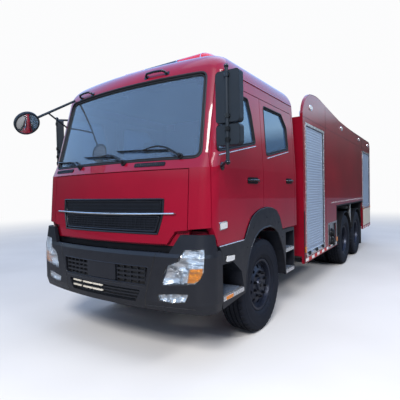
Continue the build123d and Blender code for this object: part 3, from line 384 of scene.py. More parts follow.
# ------------------------------------------------------------------ mesh helpers
def finish_mesh(name, bm, mats, body, smooth=35.0):
    bmesh.ops.recalc_face_normals(bm, faces=bm.faces)
    me = bpy.data.meshes.new(name)
    bm.to_mesh(me)
    bm.free()
    if not isinstance(mats, (list, tuple)):
        mats = [mats]
    for m in mats:
        me.materials.append(m)
    ob = bpy.data.objects.new(name, me)
    bpy.context.scene.collection.objects.link(ob)
    if smooth:
        for p in me.polygons:
            p.use_smooth = True
        me.set_sharp_from_angle(angle=math.radians(smooth))
    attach(ob, body)
    return ob


def add_box(bm, x0, x1, y0, y1, z0, z1, mi=0, bevel=0.0, rot=None, at=None):
    """Block from its limits in the frame; y from the front axle."""
    c = P((x0 + x1) / 2, (y0 + y1) / 2, (z0 + z1) / 2)
    r = bmesh.ops.create_cube(bm, size=1.0)
    vs = r["verts"]
    m = Matrix.Diagonal((abs(x1 - x0), abs(y1 - y0), abs(z1 - z0), 1))
    bmesh.ops.transform(bm, matrix=m, verts=vs)
    faces = list({f for v in vs for f in v.link_faces})
    if bevel:
        edges = list({e for v in vs for e in v.link_edges})
        res = bmesh.ops.bevel(bm, geom=edges, offset=bevel, segments=2, affect="EDGES", profile=0.6)
        faces = list({f for f in res["faces"]} | {f for f in faces if f.is_valid})
        vs = list({v for f in faces for v in f.verts})
    if rot is not None:
        bmesh.ops.transform(bm, matrix=rot, verts=vs)
    bmesh.ops.translate(bm, vec=c, verts=vs)
    for f in faces:
        f.material_index = mi
    return vs


def add_cyl(bm, p, q, r, segs=20, mi=0, r2=None, bevel=0.0):
    """Round bar from p to q, both already in the frame."""
    d = q - p
    res = bmesh.ops.create_cone(bm, cap_ends=True, cap_tris=False, segments=segs,
                                radius1=r, radius2=r if r2 is None else r2, depth=d.length)
    vs = res["verts"]
    faces = list({f for v in vs for f in v.link_faces})
    if bevel:
        edges = [e for v in vs for e in v.link_edges]
        edges = [e for e in set(edges) if any(len(f.verts) > 4 for f in e.link_faces)]
        out = bmesh.ops.bevel(bm, geom=edges, offset=bevel, segments=2, affect="EDGES")
        faces = [f for f in set(faces) | set(out["faces"]) if f.is_valid]
        vs = list({v for f in faces for v in f.verts})
    m = Matrix.Translation((p + q) / 2) @ d.to_track_quat("Z", "Y").to_matrix().to_4x4()
    bmesh.ops.transform(bm, matrix=m, verts=vs)
    for f in faces:
        f.material_index = mi
    return vs


def add_lathe(bm, centre, axis, profile, segs=32, mi=0, closed=False):
    """Turned shape: profile of (along, radius) about an axis through centre."""
    axis = Vector(axis).normalized()
    u = axis.orthogonal().normalized()
    w = axis.cross(u)
    rings = []
    for a, r in profile:
        if r < 1e-5:
            rings.append([bm.verts.new(centre + axis * a)])
        else:
            rings.append([bm.verts.new(centre + axis * a + (u * math.cos(t) + w * math.sin(t)) * r)
                          for t in (2 * math.pi * i / segs for i in range(segs))])
    pairs = list(zip(rings, rings[1:]))
    if closed:
        pairs.append((rings[-1], rings[0]))
    for A, B in pairs:
        n = max(len(A), len(B))
        if n == 1:
            continue
        for i in range(n):
            j = (i + 1) % n
            if len(A) == 1:
                f = bm.faces.new((A[0], B[i], B[j]))
            elif len(B) == 1:
                f = bm.faces.new((A[i], B[0], A[j]))
            else:
                f = bm.faces.new((A[i], B[i], B[j], A[j]))
            f.material_index = mi


def add_sweep(bm, pts, r, closed=False, segs=8, mi=0, flat=None):
    """Round bar along a run of points in the frame."""
    n = len(pts)
    rings = []
    up = None
    for i, p in enumerate(pts):
        a = pts[i - 1] if (i or closed) else p
        b = pts[(i + 1) % n] if (i < n - 1 or closed) else p
        t = (b - a).normalized()
        if up is None:
            up = t.orthogonal().normalized()
        up = (up - t * up.dot(t))
        up = up.normalized() if up.length > 1e-6 else t.orthogonal().normalized()
        w = t.cross(up)
        rr = r[i] if isinstance(r, (list, tuple)) else r
        rings.append([bm.verts.new(p + (up * math.cos(k) + w * math.sin(k)) * rr)
                      for k in (2 * math.pi * j / segs for j in range(segs))])
    runs = list(zip(rings, rings[1:]))
    if closed:
        # match the last ring to the first by the nearest start
        first, last = rings[0], rings[-1]
        k = min(range(segs), key=lambda s: (last[0].co - first[s].co).length)
        runs.append((last, first[k:] + first[:k]))
    for A, B in runs:
        for j in range(segs):
            f = bm.faces.new((A[j], A[(j + 1) % segs], B[(j + 1) % segs], B[j]))
            f.material_index = mi
    if not closed:
        for ring in (rings[0][::-1], rings[-1]):
            f = bm.faces.new(ring)
            f.material_index = mi


def spread(pts, step=0.04, closed=False):
    """Points added along a line so that no gap is over step."""
    out = []
    n = len(pts)
    for i in range(n if closed else n - 1):
        a, b = Vector(pts[i]), Vector(pts[(i + 1) % n])
        k = max(1, int(math.ceil((b - a).length / step)))
        out += [a.lerp(b, j / k) for j in range(k)]
    if not closed:
        out.append(Vector(pts[-1]))
    return out


def rounded(pts, r, n=6):
    """A closed outline with its corners rounded."""
    out = []
    m = len(pts)
    for i in range(m):
        a, b, c = Vector(pts[i - 1]), Vector(pts[i]), Vector(pts[(i + 1) % m])
        d1, d2 = (a - b), (c - b)
        ang = d1.angle(d2)
        t = min(r / math.tan(ang / 2), d1.length * 0.48, d2.length * 0.48)
        p, q = b + d1.normalized() * t, b + d2.normalized() * t
        for k in range(n + 1):
            s = k / n
            out.append((p * (1 - s) ** 2 + b * 2 * s * (1 - s) + q * s ** 2))
    return [tuple(v) for v in out]


def grown(pts, g):
    """An outline moved out by g."""
    n = len(pts)
    area = sum(pts[i][0] * pts[(i + 1) % n][1] - pts[(i + 1) % n][0] * pts[i][1] for i in range(n))
    sg = 1 if area > 0 else -1
    out = []
    for i in range(n):
        a, b, c = (Vector(pts[j]) for j in (i - 1, i, (i + 1) % n))
        e1, e2 = (b - a).normalized(), (c - b).normalized()
        n1, n2 = Vector((e1.y, -e1.x)) * sg, Vector((e2.y, -e2.x)) * sg
        k = max(1 + n1.dot(n2), 0.3)
        out.append(tuple(b + (n1 + n2) * (g / k)))
    return out


# ------------------------------------------------------------------ the cab's and bumper's surfaces
# z, half width, front at the middle, corner radius
CAB = ((1.150, 1.222, -1.376, 0.160), (1.874, 1.222, -1.318, 0.160), (2.010, 1.216, -1.252, 0.150),
       (2.830, 1.172, -1.031, 0.132), (2.930, 1.145, -0.985, 0.150), (3.020, 1.080, -0.885, 0.180))
BUMPER = ((0.552, 1.226, -1.410, 0.165), (0.640, 1.240, -1.436, 0.175), (1.060, 1.240, -1.436, 0.175),
          (1.092, 1.238, -1.424, 0.173), (1.264, 1.230, -1.396, 0.168))
RF = 5.0


def section(table, z):
    if z <= table[0][0]:
        return table[0][1:]
    for a, b in zip(table, table[1:]):
        if z <= b[0]:
            t = (z - a[0]) / (b[0] - a[0])
            return tuple(a[k] + (b[k] - a[k]) * t for k in (1, 2, 3))
    return table[-1][1:]


def front_y(table, x, z):
    w, yf, rc = section(table, z)
    d = math.sqrt((RF - rc) ** 2 - (w - rc) ** 2)
    xc, yc = w - rc, yf + RF - d
    tx = xc * RF / (RF - rc)
    x = abs(x)
    if x <= tx:
        return yf + RF - math.sqrt(RF * RF - x * x)
    e = min(x - xc, rc * 0.999)
    return yc - math.sqrt(rc * rc - e * e)


def on_front(table):
    def f(x, z, off=0.0):
        h = 0.004
        y = front_y(table, x, z)
        gx = (front_y(table, x + h, z) - front_y(table, x - h, z)) / (2 * h)
        gz = (front_y(table, x, z + h) - front_y(table, x, z - h)) / (2 * h)
        n = Vector((gx, -1.0, gz)).normalized()
        return P(x, y, z) + n * off
    return f


def on_side(table, s):
    def f(y, z, off=0.0):
        w = section(table, z)[0]
        h = 0.004
        g = (section(table, z + h)[0] - section(table, z - h)[0]) / (2 * h)
        n = Vector((1.0, 0.0, -g)).normalized()
        v = P(w, y, z) + n * off
        return Vector((s * v.x, v.y, v.z))
    return f


def on_flat(x, s):
    def f(y, z, off=0.0):
        return P(s * (x + off), y, z)
    return f


def on_rear(y0):
    def f(x, z, off=0.0):
        return P(x, y0 + off, z)
    return f


CABF, BUMPF = on_front(CAB), on_front(BUMPER)


def add_patch(bm, outline, surf, off, thick, step=0.05, mi=0):
    """A plate that follows a surface: outline in the surface's two numbers."""
    tmp = bmesh.new()
    vs = [tmp.verts.new((a, b, 0)) for a, b in outline]
    tmp.faces.new(vs)
    for k in (0, 1):
        lo, hi = min(p[k] for p in outline), max(p[k] for p in outline)
        n = int((hi - lo) / step)
        for i in range(1, n + 1):
            at = lo + (hi - lo) * i / (n + 1)
            co = (at, 0, 0) if k == 0 else (0, at, 0)
            no = (1, 0, 0) if k == 0 else (0, 1, 0)
            bmesh.ops.bisect_plane(tmp, geom=tmp.verts[:] + tmp.edges[:] + tmp.faces[:],
                                   plane_co=co, plane_no=no, dist=1e-6)
    bmesh.ops.triangulate(tmp, faces=[f for f in tmp.faces if len(f.verts) > 4])
    tmp.verts.ensure_lookup_table()
    tmp.verts.index_update()
    front = [bm.verts.new(surf(v.co.x, v.co.y, off)) for v in tmp.verts]
    back = [bm.verts.new(surf(v.co.x, v.co.y, off - thick)) for v in tmp.verts]
    for f in tmp.faces:
        ids = [v.index for v in f.verts]
        for vs in ([front[i] for i in ids], [back[i] for i in reversed(ids)]):
            g = bm.faces.new(vs)
            g.material_index = mi
    for e in tmp.edges:
        if len(e.link_faces) == 1:
            a, b = e.verts[0].index, e.verts[1].index
            g = bm.faces.new((front[a], front[b], back[b], back[a]))
            g.material_index = mi
    tmp.free()


def add_bead(bm, outline, surf, off, r, closed=True, segs=8, step=0.04, mi=0):
    pts = [surf(v[0], v[1], off) for v in spread(outline, step, closed)]
    add_sweep(bm, pts, r, closed, segs, mi)


def bar_strip(bm, a0, a1, b0, b1, surf, off, thick, step=0.05, mi=0):
    add_patch(bm, [(a0, b0), (a1, b0), (a1, b1), (a0, b1)], surf, off, thick, step, mi)


def hex_nut(bm, c, axis, r, h, mi=0, stud=0.0):
    axis = Vector(axis).normalized()
    add_cyl(bm, c, c + axis * h * 0.25, r * 1.35, 14, mi)
    add_cyl(bm, c + axis * h * 0.25, c + axis * h, r, 6, mi, bevel=r * 0.08)
    if stud:
        add_cyl(bm, c + axis * h, c + axis * (h + stud), r * 0.5, 10, mi, bevel=r * 0.06)


# ------------------------------------------------------------------ camera, light, floor
def make_camera():
    cam = bpy.data.cameras.new("camera")
    ob = bpy.data.objects.new("camera", cam)
    bpy.context.scene.collection.objects.link(ob)
    yaw, pitch, roll = 0.5914, -0.0241, -0.0203
    f = Vector((-math.sin(yaw), math.cos(yaw), 0))
    r = Vector((math.cos(yaw), math.sin(yaw), 0))
    u = Vector((0, 0, 1))
    f2 = f * math.cos(pitch) + u * math.sin(pitch)
    u2 = u * math.cos(pitch) - f * math.sin(pitch)
    r3 = r * math.cos(roll) + u2 * math.sin(roll)
    u3 = u2 * math.cos(roll) - r * math.sin(roll)
    m = Matrix((r3, u3, -f2)).transposed().to_4x4()
    m.translation = Vector((2.8622, -3.8209 + FA, 1.6527))
    ob.matrix_world = m
    cam.sensor_width = 36.0
    cam.sensor_fit = "AUTO"
    cam.lens = 349.83 / 400.0 * 36.0
    cam.clip_start, cam.clip_end = 0.05, 200.0
    bpy.context.scene.camera = ob


def area(name, at, to, size, power, colour):
    li = bpy.data.lights.new(name, "AREA")
    li.shape = "RECTANGLE"
    li.size, li.size_y = size
    li.energy = power
    li.color = colour
    ob = bpy.data.objects.new(name, li)
    bpy.context.scene.collection.objects.link(ob)
    ob.location = at
    ob.rotation_euler = (Vector(to) - Vector(at)).to_track_quat("-Z", "Y").to_euler()


def make_stage():
    bm = bmesh.new()
    r = 60.0
    vs = [bm.verts.new((x, y, 0)) for x, y in ((-r, -r), (r, -r), (r, r), (-r, r))]
    bm.faces.new(vs)
    me = bpy.data.meshes.new("floor")
    bm.to_mesh(me)
    bm.free()
    m, nt, b = new_mat("floor_pale")
    n = noise(nt, coords(nt), 0.6, 2.0)
    pale = ramp(nt, n, ((0.3, (0.74, 0.735, 0.725)), (0.7, (0.80, 0.795, 0.785))))
    # the paint mirrors a darker ground, as it does outdoors
    path = nt.nodes.new("ShaderNodeLightPath")
    nt.links.new(mix(nt, path.outputs["Is Glossy Ray"], pale, (0.30, 0.29, 0.28)), b.inputs["Base Color"])
    b.inputs["Roughness"].default_value = 0.9
    b.inputs["Specular IOR Level"].default_value = 0.1
    # far from the truck the floor fades into the pale surround, like a studio cove
    away = nt.nodes.new("ShaderNodeVectorMath")
    away.operation = "LENGTH"
    nt.links.new(coords(nt), away.inputs[0])
    far = nt.nodes.new("ShaderNodeMapRange")
    far.interpolation_type = "SMOOTHSTEP"
    far.inputs["From Min"].default_value = 5.5
    far.inputs["From Max"].default_value = 22.0
    nt.links.new(away.outputs["Value"], far.inputs["Value"])
    seen = nt.nodes.new("ShaderNodeMath")
    seen.operation = "MULTIPLY"
    nt.links.new(far.outputs["Result"], seen.inputs[0])
    nt.links.new(path.outputs["Is Camera Ray"], seen.inputs[1])
    glow = nt.nodes.new("ShaderNodeEmission")
    glow.inputs["Color"].default_value = (0.97, 0.972, 0.978, 1)
    both = nt.nodes.new("ShaderNodeMixShader")
    nt.links.new(seen.outputs[0], both.inputs[0])
    nt.links.new(b.outputs[0], both.inputs[1])
    nt.links.new(glow.outputs[0], both.inputs[2])
    out = [k for k in nt.nodes if k.type == "OUTPUT_MATERIAL"][0]
    nt.links.new(both.outputs[0], out.inputs["Surface"])
    me.materials.append(m)
    ob = bpy.data.objects.new("floor", me)
    bpy.context.scene.collection.objects.link(ob)
    # studio surround: pale to the eye, blue above and darker low down where it lights the paint
    w = bpy.data.worlds.new("studio")
    bpy.context.scene.world = w
    w.use_nodes = True
    wn = w.node_tree
    bg = wn.nodes["Background"]
    tc = wn.nodes.new("ShaderNodeTexCoord")
    sep = wn.nodes.new("ShaderNodeSeparateXYZ")
    wn.links.new(tc.outputs["Generated"], sep.inputs[0])
    half = wn.nodes.new("ShaderNodeMath")
    half.operation = "MULTIPLY_ADD"
    half.inputs[1].default_value = 0.5
    half.inputs[2].default_value = 0.5
    wn.links.new(sep.outputs["Z"], half.inputs[0])
    soft = ramp(wn, half.outputs[0], ((0.44, (0.07, 0.07, 0.07)), (0.56, (0.20, 0.21, 0.24)), (0.70, (0.34, 0.42, 0.58)),
                                      (1.0, (0.44, 0.54, 0.76))))
    # what the paint and glass mirror: dark up to ten degrees, then sky
    sharp = ramp(wn, half.outputs[0], ((0.470, (0.020, 0.021, 0.024)), (0.540, (0.034, 0.038, 0.040)),
                                       (0.585, (0.080, 0.095, 0.10)), (0.605, (0.46, 0.60, 0.72)),
                                       (0.66, (0.34, 0.56, 0.90)), (0.80, (0.28, 0.50, 0.95)), (1.0, (0.20, 0.36, 0.78))))
    gain = wn.nodes.new("ShaderNodeMix")
    gain.data_type = "RGBA"
    gain.blend_type = "MULTIPLY"
    gain.inputs[0].default_value = 1.0
    wn.links.new(sharp, gain.inputs[6])
    gain.inputs[7].default_value = (1.7, 1.7, 1.7, 1)
    lp = wn.nodes.new("ShaderNodeLightPath")
    lit = mix(wn, lp.outputs["Is Glossy Ray"], soft, gain.outputs[2])
    # Seen and lit through glass the surround is pale blue: a painted sky colour in the windows.
    lit = mix(wn, lp.outputs["Is Transmission Ray"], lit, (0.62, 0.78, 1.0))
    wn.links.new(mix(wn, lp.outputs["Is Camera Ray"], lit, (0.97, 0.972, 0.978)), bg.inputs[0])
    bg.inputs[1].default_value = 1.0
    area("key_front", (4.5, -13.0, 9.0), (0.3, -3.5, 1.2), (4.0, 3.0), 1500, (1.0, 0.96, 0.92))
    area("side_left", (11.0, -3.0, 9.5), (1.0, 0.0, 1.0), (6.0, 2.0), 620, (1.0, 0.97, 0.95))
    area("top", (0.0, 0.0, 12.0), (0, 0, 0), (7.0, 14.0), 260, (0.80, 0.88, 1.0))
    bpy.context.scene.view_settings.view_transform = "Standard"
    bpy.context.scene.view_settings.look = "None"
    bpy.context.scene.view_settings.exposure = 0.0


make_camera()
make_stage()

SIDES = (("left", 1), ("right", -1))


# ------------------------------------------------------------------ tyres and wheel details
def add_tyre(bm, xm, y, s):
    """Grooved, blocked tread and ribbed side walls about the wheel's axis."""
    side = [(0.104, 0.2885), (0.107, 0.303), (0.112, 0.308), (0.118, 0.309), (0.128, 0.322),
            (0.137, 0.345), (0.1385, 0.352), (0.1430, 0.353), (0.1445, 0.360), (0.1478, 0.385),
            (0.1492, 0.410), (0.1488, 0.440), (0.1462, 0.468), (0.1470, 0.4705), (0.1452, 0.4745),
            (0.1425, 0.490), (0.1405, 0.500)]
    shoulder = [(0.138, 0.512, 1), (0.134, 0.524, 1), (0.124, 0.533, 1), (0.112, 0.5375, 1), (0.088, 0.5385, 1)]
    centre = [(0.086, 0.525, 0), (0.076, 0.525, 0), (0.074, 0.539, 2), (0.034, 0.5398, 2),
              (0.032, 0.525, 0), (0.022, 0.525, 0), (0.020, 0.5399, 3), (0.0, 0.540, 3)]
    half = [(u, r, 0) for u, r in side] + shoulder + centre
    prof = half + [(-u, r, k) for u, r, k in reversed(half[:-1])]
    n = 168
    rings = []
    for i in range(n):
        t = 2 * math.pi * i / n
        ring = []
        for u, r, k in prof:
            rr = r
            if k == 1 and i % 4 == (0 if u > 0 else 2):
                rr = r - (0.011 if r > 0.52 else 0.005)
            elif k == 2 and (i + (1 if u > 0 else 3)) % 6 == 0:
                rr = r - 0.007
            elif k == 3 and i % 6 == 2:
                rr = r - 0.005
            ring.append(bm.verts.new(P(xm + u, y, WHEEL_Z) + Vector((0, rr * math.cos(t), rr * math.sin(t)))))
        rings.append(ring)
    m = len(prof)
    for i in range(n):
        a, b = rings[i], rings[(i + 1) % n]
        for j in range(m - 1):
            bm.faces.new((a[j], a[j + 1], b[j + 1], b[j]))
        bm.faces.new((a[m - 1], a[0], b[0], b[m - 1]))


def wheel_bolts(bm, x, y, s, ring_r, count, r, h, mi=0, stud=0.012):
    for i in range(count):
        t = 2 * math.pi * (i + 0.5) / count
        hex_nut(bm, P(x, y, WHEEL_Z) + Vector((0, ring_r * math.cos(t), ring_r * math.sin(t))),
                (s, 0, 0), r, h, mi, stud)


for side, s in SIDES:
    xm = s * 1.024
    bm = bmesh.new()
    add_tyre(bm, xm, 0.0, s)
    ob = finish_mesh("front_tyre_tread_" + side, bm, TYRE, "front_wheel_" + side, 28)
    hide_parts("front_tyre_" + side)
    bm = bmesh.new()
    wheel_bolts(bm, xm + s * 0.098, 0.0, s, 0.1425, 10, 0.0165, 0.026)
    for i in range(8):
        t = 2 * math.pi * i / 8
        hex_nut(bm, P(xm + s * 0.112, 0, WHEEL_Z) + Vector((0, 0.056 * math.cos(t), 0.056 * math.sin(t))),
                (s, 0, 0), 0.007, 0.008)
    add_lathe(bm, P(xm, 0, WHEEL_Z), (s, 0, 0), [(0.118, 0.034), (0.127, 0.032), (0.130, 0.024), (0.130, 0.0)], 28)
    # valve stem
    add_cyl(bm, P(xm + s * 0.060, 0.0, WHEEL_Z + 0.252), P(xm + s * 0.098, 0.0, WHEEL_Z + 0.262), 0.005, 10)
    add_cyl(bm, P(xm + s * 0.098, 0.0, WHEEL_Z + 0.262), P(xm + s * 0.112, 0.0, WHEEL_Z + 0.266), 0.0075, 10)
    finish_mesh("front_wheel_nuts_" + side, bm, DARK_STEEL, "front_wheel_" + side, 40)
    for n, ya in enumerate(REAR_AXLES, 1):
        body = "rear_wheels_%d_%s" % (n, side)
        bm = bmesh.new()
        add_tyre(bm, s * 0.898 + 0.170, ya, s)
        add_tyre(bm, s * 0.898 - 0.170, ya, s)
        ob = finish_mesh("rear_tyre_treads_%d_%s" % (n, side), bm, TYRE, body, 28)
        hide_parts("rear_tyres_%d_%s" % (n, side))
        bm = bmesh.new()
        wheel_bolts(bm, s * (0.898 + 0.030), ya, s, 0.1425, 10, 0.0165, 0.028)
        for i in range(10):
            t = 2 * math.pi * i / 10
            hex_nut(bm, P(s * (0.898 + 0.155), ya, WHEEL_Z) + Vector((0, 0.076 * math.cos(t), 0.076 * math.sin(t))),
                    (s, 0, 0), 0.007, 0.012)
        add_lathe(bm, P(s * 0.898, ya, WHEEL_Z), (s, 0, 0), [(0.168, 0.060), (0.174, 0.058), (0.176, 0.050), (0.176, 0.0)], 28)
        finish_mesh("rear_wheel_nuts_%d_%s" % (n, side), bm, DARK_STEEL, body, 40)

# ------------------------------------------------------------------ windshield seal, wipers, vents, roof handles
WS = [(-1.088, 1.966), (-1.030, 2.822), (1.030, 2.822), (1.088, 1.966)]
bm = bmesh.new()
add_bead(bm, rounded(WS, 0.080), CABF, -0.006, 0.013, segs=10)
add_bead(bm, rounded(grown(WS, -0.022), 0.066), CABF, -0.014, 0.010, segs=8)
add_bead(bm, rounded([(-0.52, 2.08), (-0.52, 2.56), (0.52, 2.56), (0.52, 2.08)], 0.06), on_rear(1.134), 0.002, 0.014)
finish_mesh("windshield_seal", bm, SEAL, "chassis", 60)

# frit: black printed border inside the windshield
bm = bmesh.new()
outer = rounded(grown(WS, -0.006), 0.078, 8)
inner = rounded(grown(WS, -0.050), 0.055, 8)
k = len(outer)
rows = []
for a, b in zip(outer, inner):
    rows.append((bm.verts.new(CABF(a[0], a[1], -0.0285)), bm.verts.new(CABF(b[0], b[1], -0.0285))))
for i in range(k):
    (a, b), (c, d) = rows[i], rows[(i + 1) % k]
    n = max(1, int((a.co - c.co).length / 0.05))
    if n == 1:
        bm.faces.new((a, c, d, b))
    else:
        pa, pb = outer[i], inner[i]
        pc, pd = outer[(i + 1) % k], inner[(i + 1) % k]
        last = (a, b)
        for j in range(1, n + 1):
            if j == n:
                cur = (c, d)
            else:
                t = j / n
                qa = (pa[0] + (pc[0] - pa[0]) * t, pa[1] + (pc[1] - pa[1]) * t)
                qb = (pb[0] + (pd[0] - pb[0]) * t, pb[1] + (pd[1] - pb[1]) * t)
                cur = (bm.verts.new(CABF(*qa, -0.0285)), bm.verts.new(CABF(*qb, -0.0285)))
            bm.faces.new((last[0], cur[0], cur[1], last[1]))
            last = cur
ex = bmesh.ops.extrude_face_region(bm, geom=bm.faces[:])
for v in [g for g in ex["geom"] if isinstance(g, bmesh.types.BMVert)]:
    v.co.y += 0.0015
finish_mesh("windshield_border", bm, BLACK_GLOSS, "chassis", 30)


def wiper(bm, x, z, length, tip_z, lift=0.05):
    """Pivot, arched arm and blade lying to the right."""
    base = CABF(x, z, 0.0)
    add_cyl(bm, CABF(x, z, -0.02), CABF(x, z, 0.045), 0.020, 16, 1, bevel=0.004)
    add_cyl(bm, CABF(x, z, -0.004), CABF(x, z, 0.012), 0.034, 18, 1, bevel=0.004)
    pts, rad = [], []
    for i in range(13):
        t = i / 12
        px = x - length * 0.62 * t
        pz = z + (tip_z - z) * t + lift * math.sin(math.pi * min(1.0, t * 1.1)) * 0.9
        pts.append(CABF(px, pz, 0.042 - 0.022 * t))
        rad.append(0.0115 - 0.005 * t)
    add_sweep(bm, pts, rad, segs=8, mi=1)
    mid = pts[-1]
    mz = z + (tip_z - z)
    bl, sp = [], []
    for i in range(25):
        t = i / 24
        px = x - length * 0.62 + length * 0.42 - length * 0.84 * t
        pz = mz + 0.030 * (t - 0.5)
        bl.append(CABF(px, pz, -0.006))
        sp.append(CABF(px, pz, 0.008 + 0.006 * math.sin(math.pi * t)))
    add_sweep(bm, bl, 0.0055, segs=6, mi=0)
    add_sweep(bm, sp, 0.0055, segs=6, mi=1)
    add_cyl(bm, mid, sp[12], 0.008, 8, 1)


bm = bmesh.new()
wiper(bm, -0.482, 1.950, 0.60, 2.035, 0.03)
wiper(bm, 0.222, 1.958, 0.66, 2.050, 0.05)
wiper(bm, 0.879, 1.985, 0.76, 2.075, 0.07)
finish_mesh("wipers", bm, (SEAL, BLACK_GLOSS), "chassis", 40)

bm = bmesh.new()
for x0, x1, z0, z1 in ((-1.02, -0.62, 1.925, 1.948), (0.38, 0.74, 1.925, 1.948)):
    out = rounded([(x0, z0 - 0.022), (x1, z0 - 0.022), (x1, z1 - 0.006), (x0, z1 - 0.006)], 0.012, 4)
    add_patch(bm, out, CABF, 0.006, 0.010, 0.06, 0)
    n = int((x1 - x0) / 0.022)
    for i in range(n):
        xx = x0 + 0.012 + (x1 - x0 - 0.024) * i / (n - 1)
        a, b = CABF(xx, z0 - 0.014, 0.007), CABF(xx, z1 - 0.014, 0.007)
        add_cyl(bm, a, b, 0.0028, 6, 1)
finish_mesh("cowl_vents", bm, (DARK_PLASTIC, BLACK_GLOSS), "chassis", 40)

bm = bmesh.new()
for x0, x1, z in ((-0.82, -0.56, 2.850), (0.32, 0.58, 2.872)):
    a, b = CABF(x0, z, 0.0), CABF(x1, z, 0.0)
    pts = [CABF(x0, z, -0.01), CABF(x0 + 0.008, z, 0.030), CABF(x0 + 0.035, z + 0.004, 0.052),
           CABF((x0 + x1) / 2, z + 0.006, 0.056), CABF(x1 - 0.035, z + 0.004, 0.052), CABF(x1 - 0.008, z, 0.030),
           CABF(x1, z, -0.01)]
    add_sweep(bm, [p for p in spread(pts, 0.02)], 0.0125, segs=10)
    for x in (x0, x1):
        add_patch(bm, rounded([(x - 0.028, z - 0.020), (x + 0.028, z - 0.020), (x + 0.028, z + 0.020),
                               (x - 0.028, z + 0.020)], 0.012, 4), CABF, 0.008, 0.012, 0.05)
finish_mesh("roof_edge_handles", bm, BLACK_GLOSS, "chassis", 50)

# ------------------------------------------------------------------ grille, chrome bar, flap trim
bm = bmesh.new()
GR = [(-0.690, 1.262), (0.690, 1.262), (0.742, 1.440), (0.748, 1.588), (-0.748, 1.588), (-0.742, 1.440)]
add_bead(bm, GR, CABF, 0.000, 0.010, segs=8)
low = [(-0.662, 1.285), (0.662, 1.285), (0.704, 1.425), (-0.704, 1.425)]
add_bead(bm, rounded(low, 0.02, 4), CABF, -0.004, 0.009, segs=8)
add_bead(bm, rounded([(-0.712, 1.465), (0.712, 1.465), (0.715, 1.570), (-0.715, 1.570)], 0.02, 4), CABF, -0.005, 0.006, segs=6)
for i in range(5):
    z = 1.306 + 0.0245 * i
    w = 0.66 + (z - 1.285) * 0.3
    bar_strip(bm, -w, w, z - 0.0055, z + 0.0055, CABF, 0.000, 0.012, 0.08)
for i in range(-12, 13):
    x = i * 0.054
    if abs(x) < 0.66:
        bar_strip(bm, x - 0.003, x + 0.003, 1.290, 1.420, CABF, -0.004, 0.008, 0.1)
for z in (1.498, 1.535):
    bar_strip(bm, -0.70, 0.70, z - 0.004, z + 0.004, CABF, -0.004, 0.006, 0.08)
finish_mesh("grille_slats", bm, GREY_PLASTIC, "front_flap", 35)

bm = bmesh.new()
top, bot = [], []
for i in range(61):
    x = -0.884 + 1.768 * i / 60
    e = abs(x) / 0.884
    h = 0.011 * (1 - 0.75 * e ** 3)
    z = 1.444 + 0.010 * e ** 2
    top.append((x, z + h))
    bot.append((x, z - h))
add_patch(bm, bot + top[::-1], CABF, 0.018, 0.018, 0.06)
add_sweep(bm, [CABF(-0.868 + 1.736 * i / 60, 1.444 + 0.010 * (abs(-0.868 + 1.736 * i / 60) / 0.884) ** 2, 0.017) for i in range(61)], 0.0075, segs=10)
finish_mesh("grille_chrome_bar", bm, CHROME, "front_flap", 35)

# dark sheet behind the gap between flap and bumper: painted shade in the gap
bm = bmesh.new()
add_patch(bm, [(-0.94, 1.085), (0.94, 1.085), (0.985, 1.290), (-0.985, 1.290)], on_front(
    [(z, w, yf + 0.052, rc) for z, w, yf, rc in CAB]), 0.0, 0.004, 0.08)
finish_mesh("flap_gap_shade_panel", bm, DARK_PLASTIC, "chassis", 35)

# ------------------------------------------------------------------ bumper details
# step ledge along the bumper's top, with its tread ribs
bm = bmesh.new()
for i in range(6):
    off = -0.006 - 0.0095 * i
    pts = [BUMPF(x, 1.0915, off) + Vector((0, 0, 0.0035)) for x in [v / 20 * 0.80 for v in range(-20, 21)]]
    add_sweep(bm, pts, 0.0032, segs=6)
finish_mesh("bumper_step_ribs", bm, GREY_PLASTIC, "chassis", 40)

bm = bmesh.new()
RM = [(-0.600, 0.780), (0.600, 0.780), (0.630, 0.956), (-0.630, 0.956)]
inset = on_front([(z, w, yf + 0.034, rc) for z, w, yf, rc in BUMPER])
add_patch(bm, rounded(RM, 0.02, 4), inset, 0.0, 0.004, 0.08, 0)
add_bead(bm, rounded(RM, 0.02, 4), BUMPF, -0.004, 0.007, segs=6, mi=1)
for x0, x1 in ((-0.585, -0.205), (0.235, 0.585)):
    for z in (0.825, 0.868, 0.911):
        bar_strip(bm, x0, x1, z - 0.010, z + 0.010, BUMPF, -0.012, 0.022, 0.08, 1)
    n = 5 if x0 < 0 else 4
    for i in range(n + 1):
        xx = x0 + (x1 - x0) * i / n
        bar_strip(bm, xx - 0.005, xx + 0.005, 0.795, 0.945, BUMPF, -0.016, 0.018, 0.2, 1)
# blank plate in the middle
add_patch(bm, rounded([(-0.196, 0.792), (0.222, 0.792), (0.222, 0.950), (-0.196, 0.950)], 0.012, 4), BUMPF,
          -0.003, 0.014, 0.08, 1)
LM = [(-0.470, 0.612), (-0.540, 0.730), (0.540, 0.730), (0.470, 0.612)]
add_patch(bm, rounded(LM, 0.015, 4), inset, 0.0, 0.004, 0.08, 0)
for z in (0.640, 0.672, 0.704):
    w = 0.47 + (z - 0.612) * 0.59 - 0.01
    bar_strip(bm, -w, w, z - 0.006, z + 0.006, BUMPF, -0.014, 0.018, 0.08, 1)
finish_mesh("bumper_grilles", bm, (BLACK_GLOSS, GREY_PLASTIC), "chassis", 35)

bm = bmesh.new()
for z in (0.664, 0.716):
    for x0, x1 in ((-0.463, -0.318), (-0.282, -0.128), (-0.118, 0.030)):
        add_patch(bm, rounded([(x0, z - 0.008), (x1, z - 0.008), (x1, z + 0.008), (x0, z + 0.008)], 0.003, 2),
                  BUMPF, -0.002, 0.014, 0.06)
finish_mesh("bumper_light_bars", bm, CREAM, "chassis", 35)

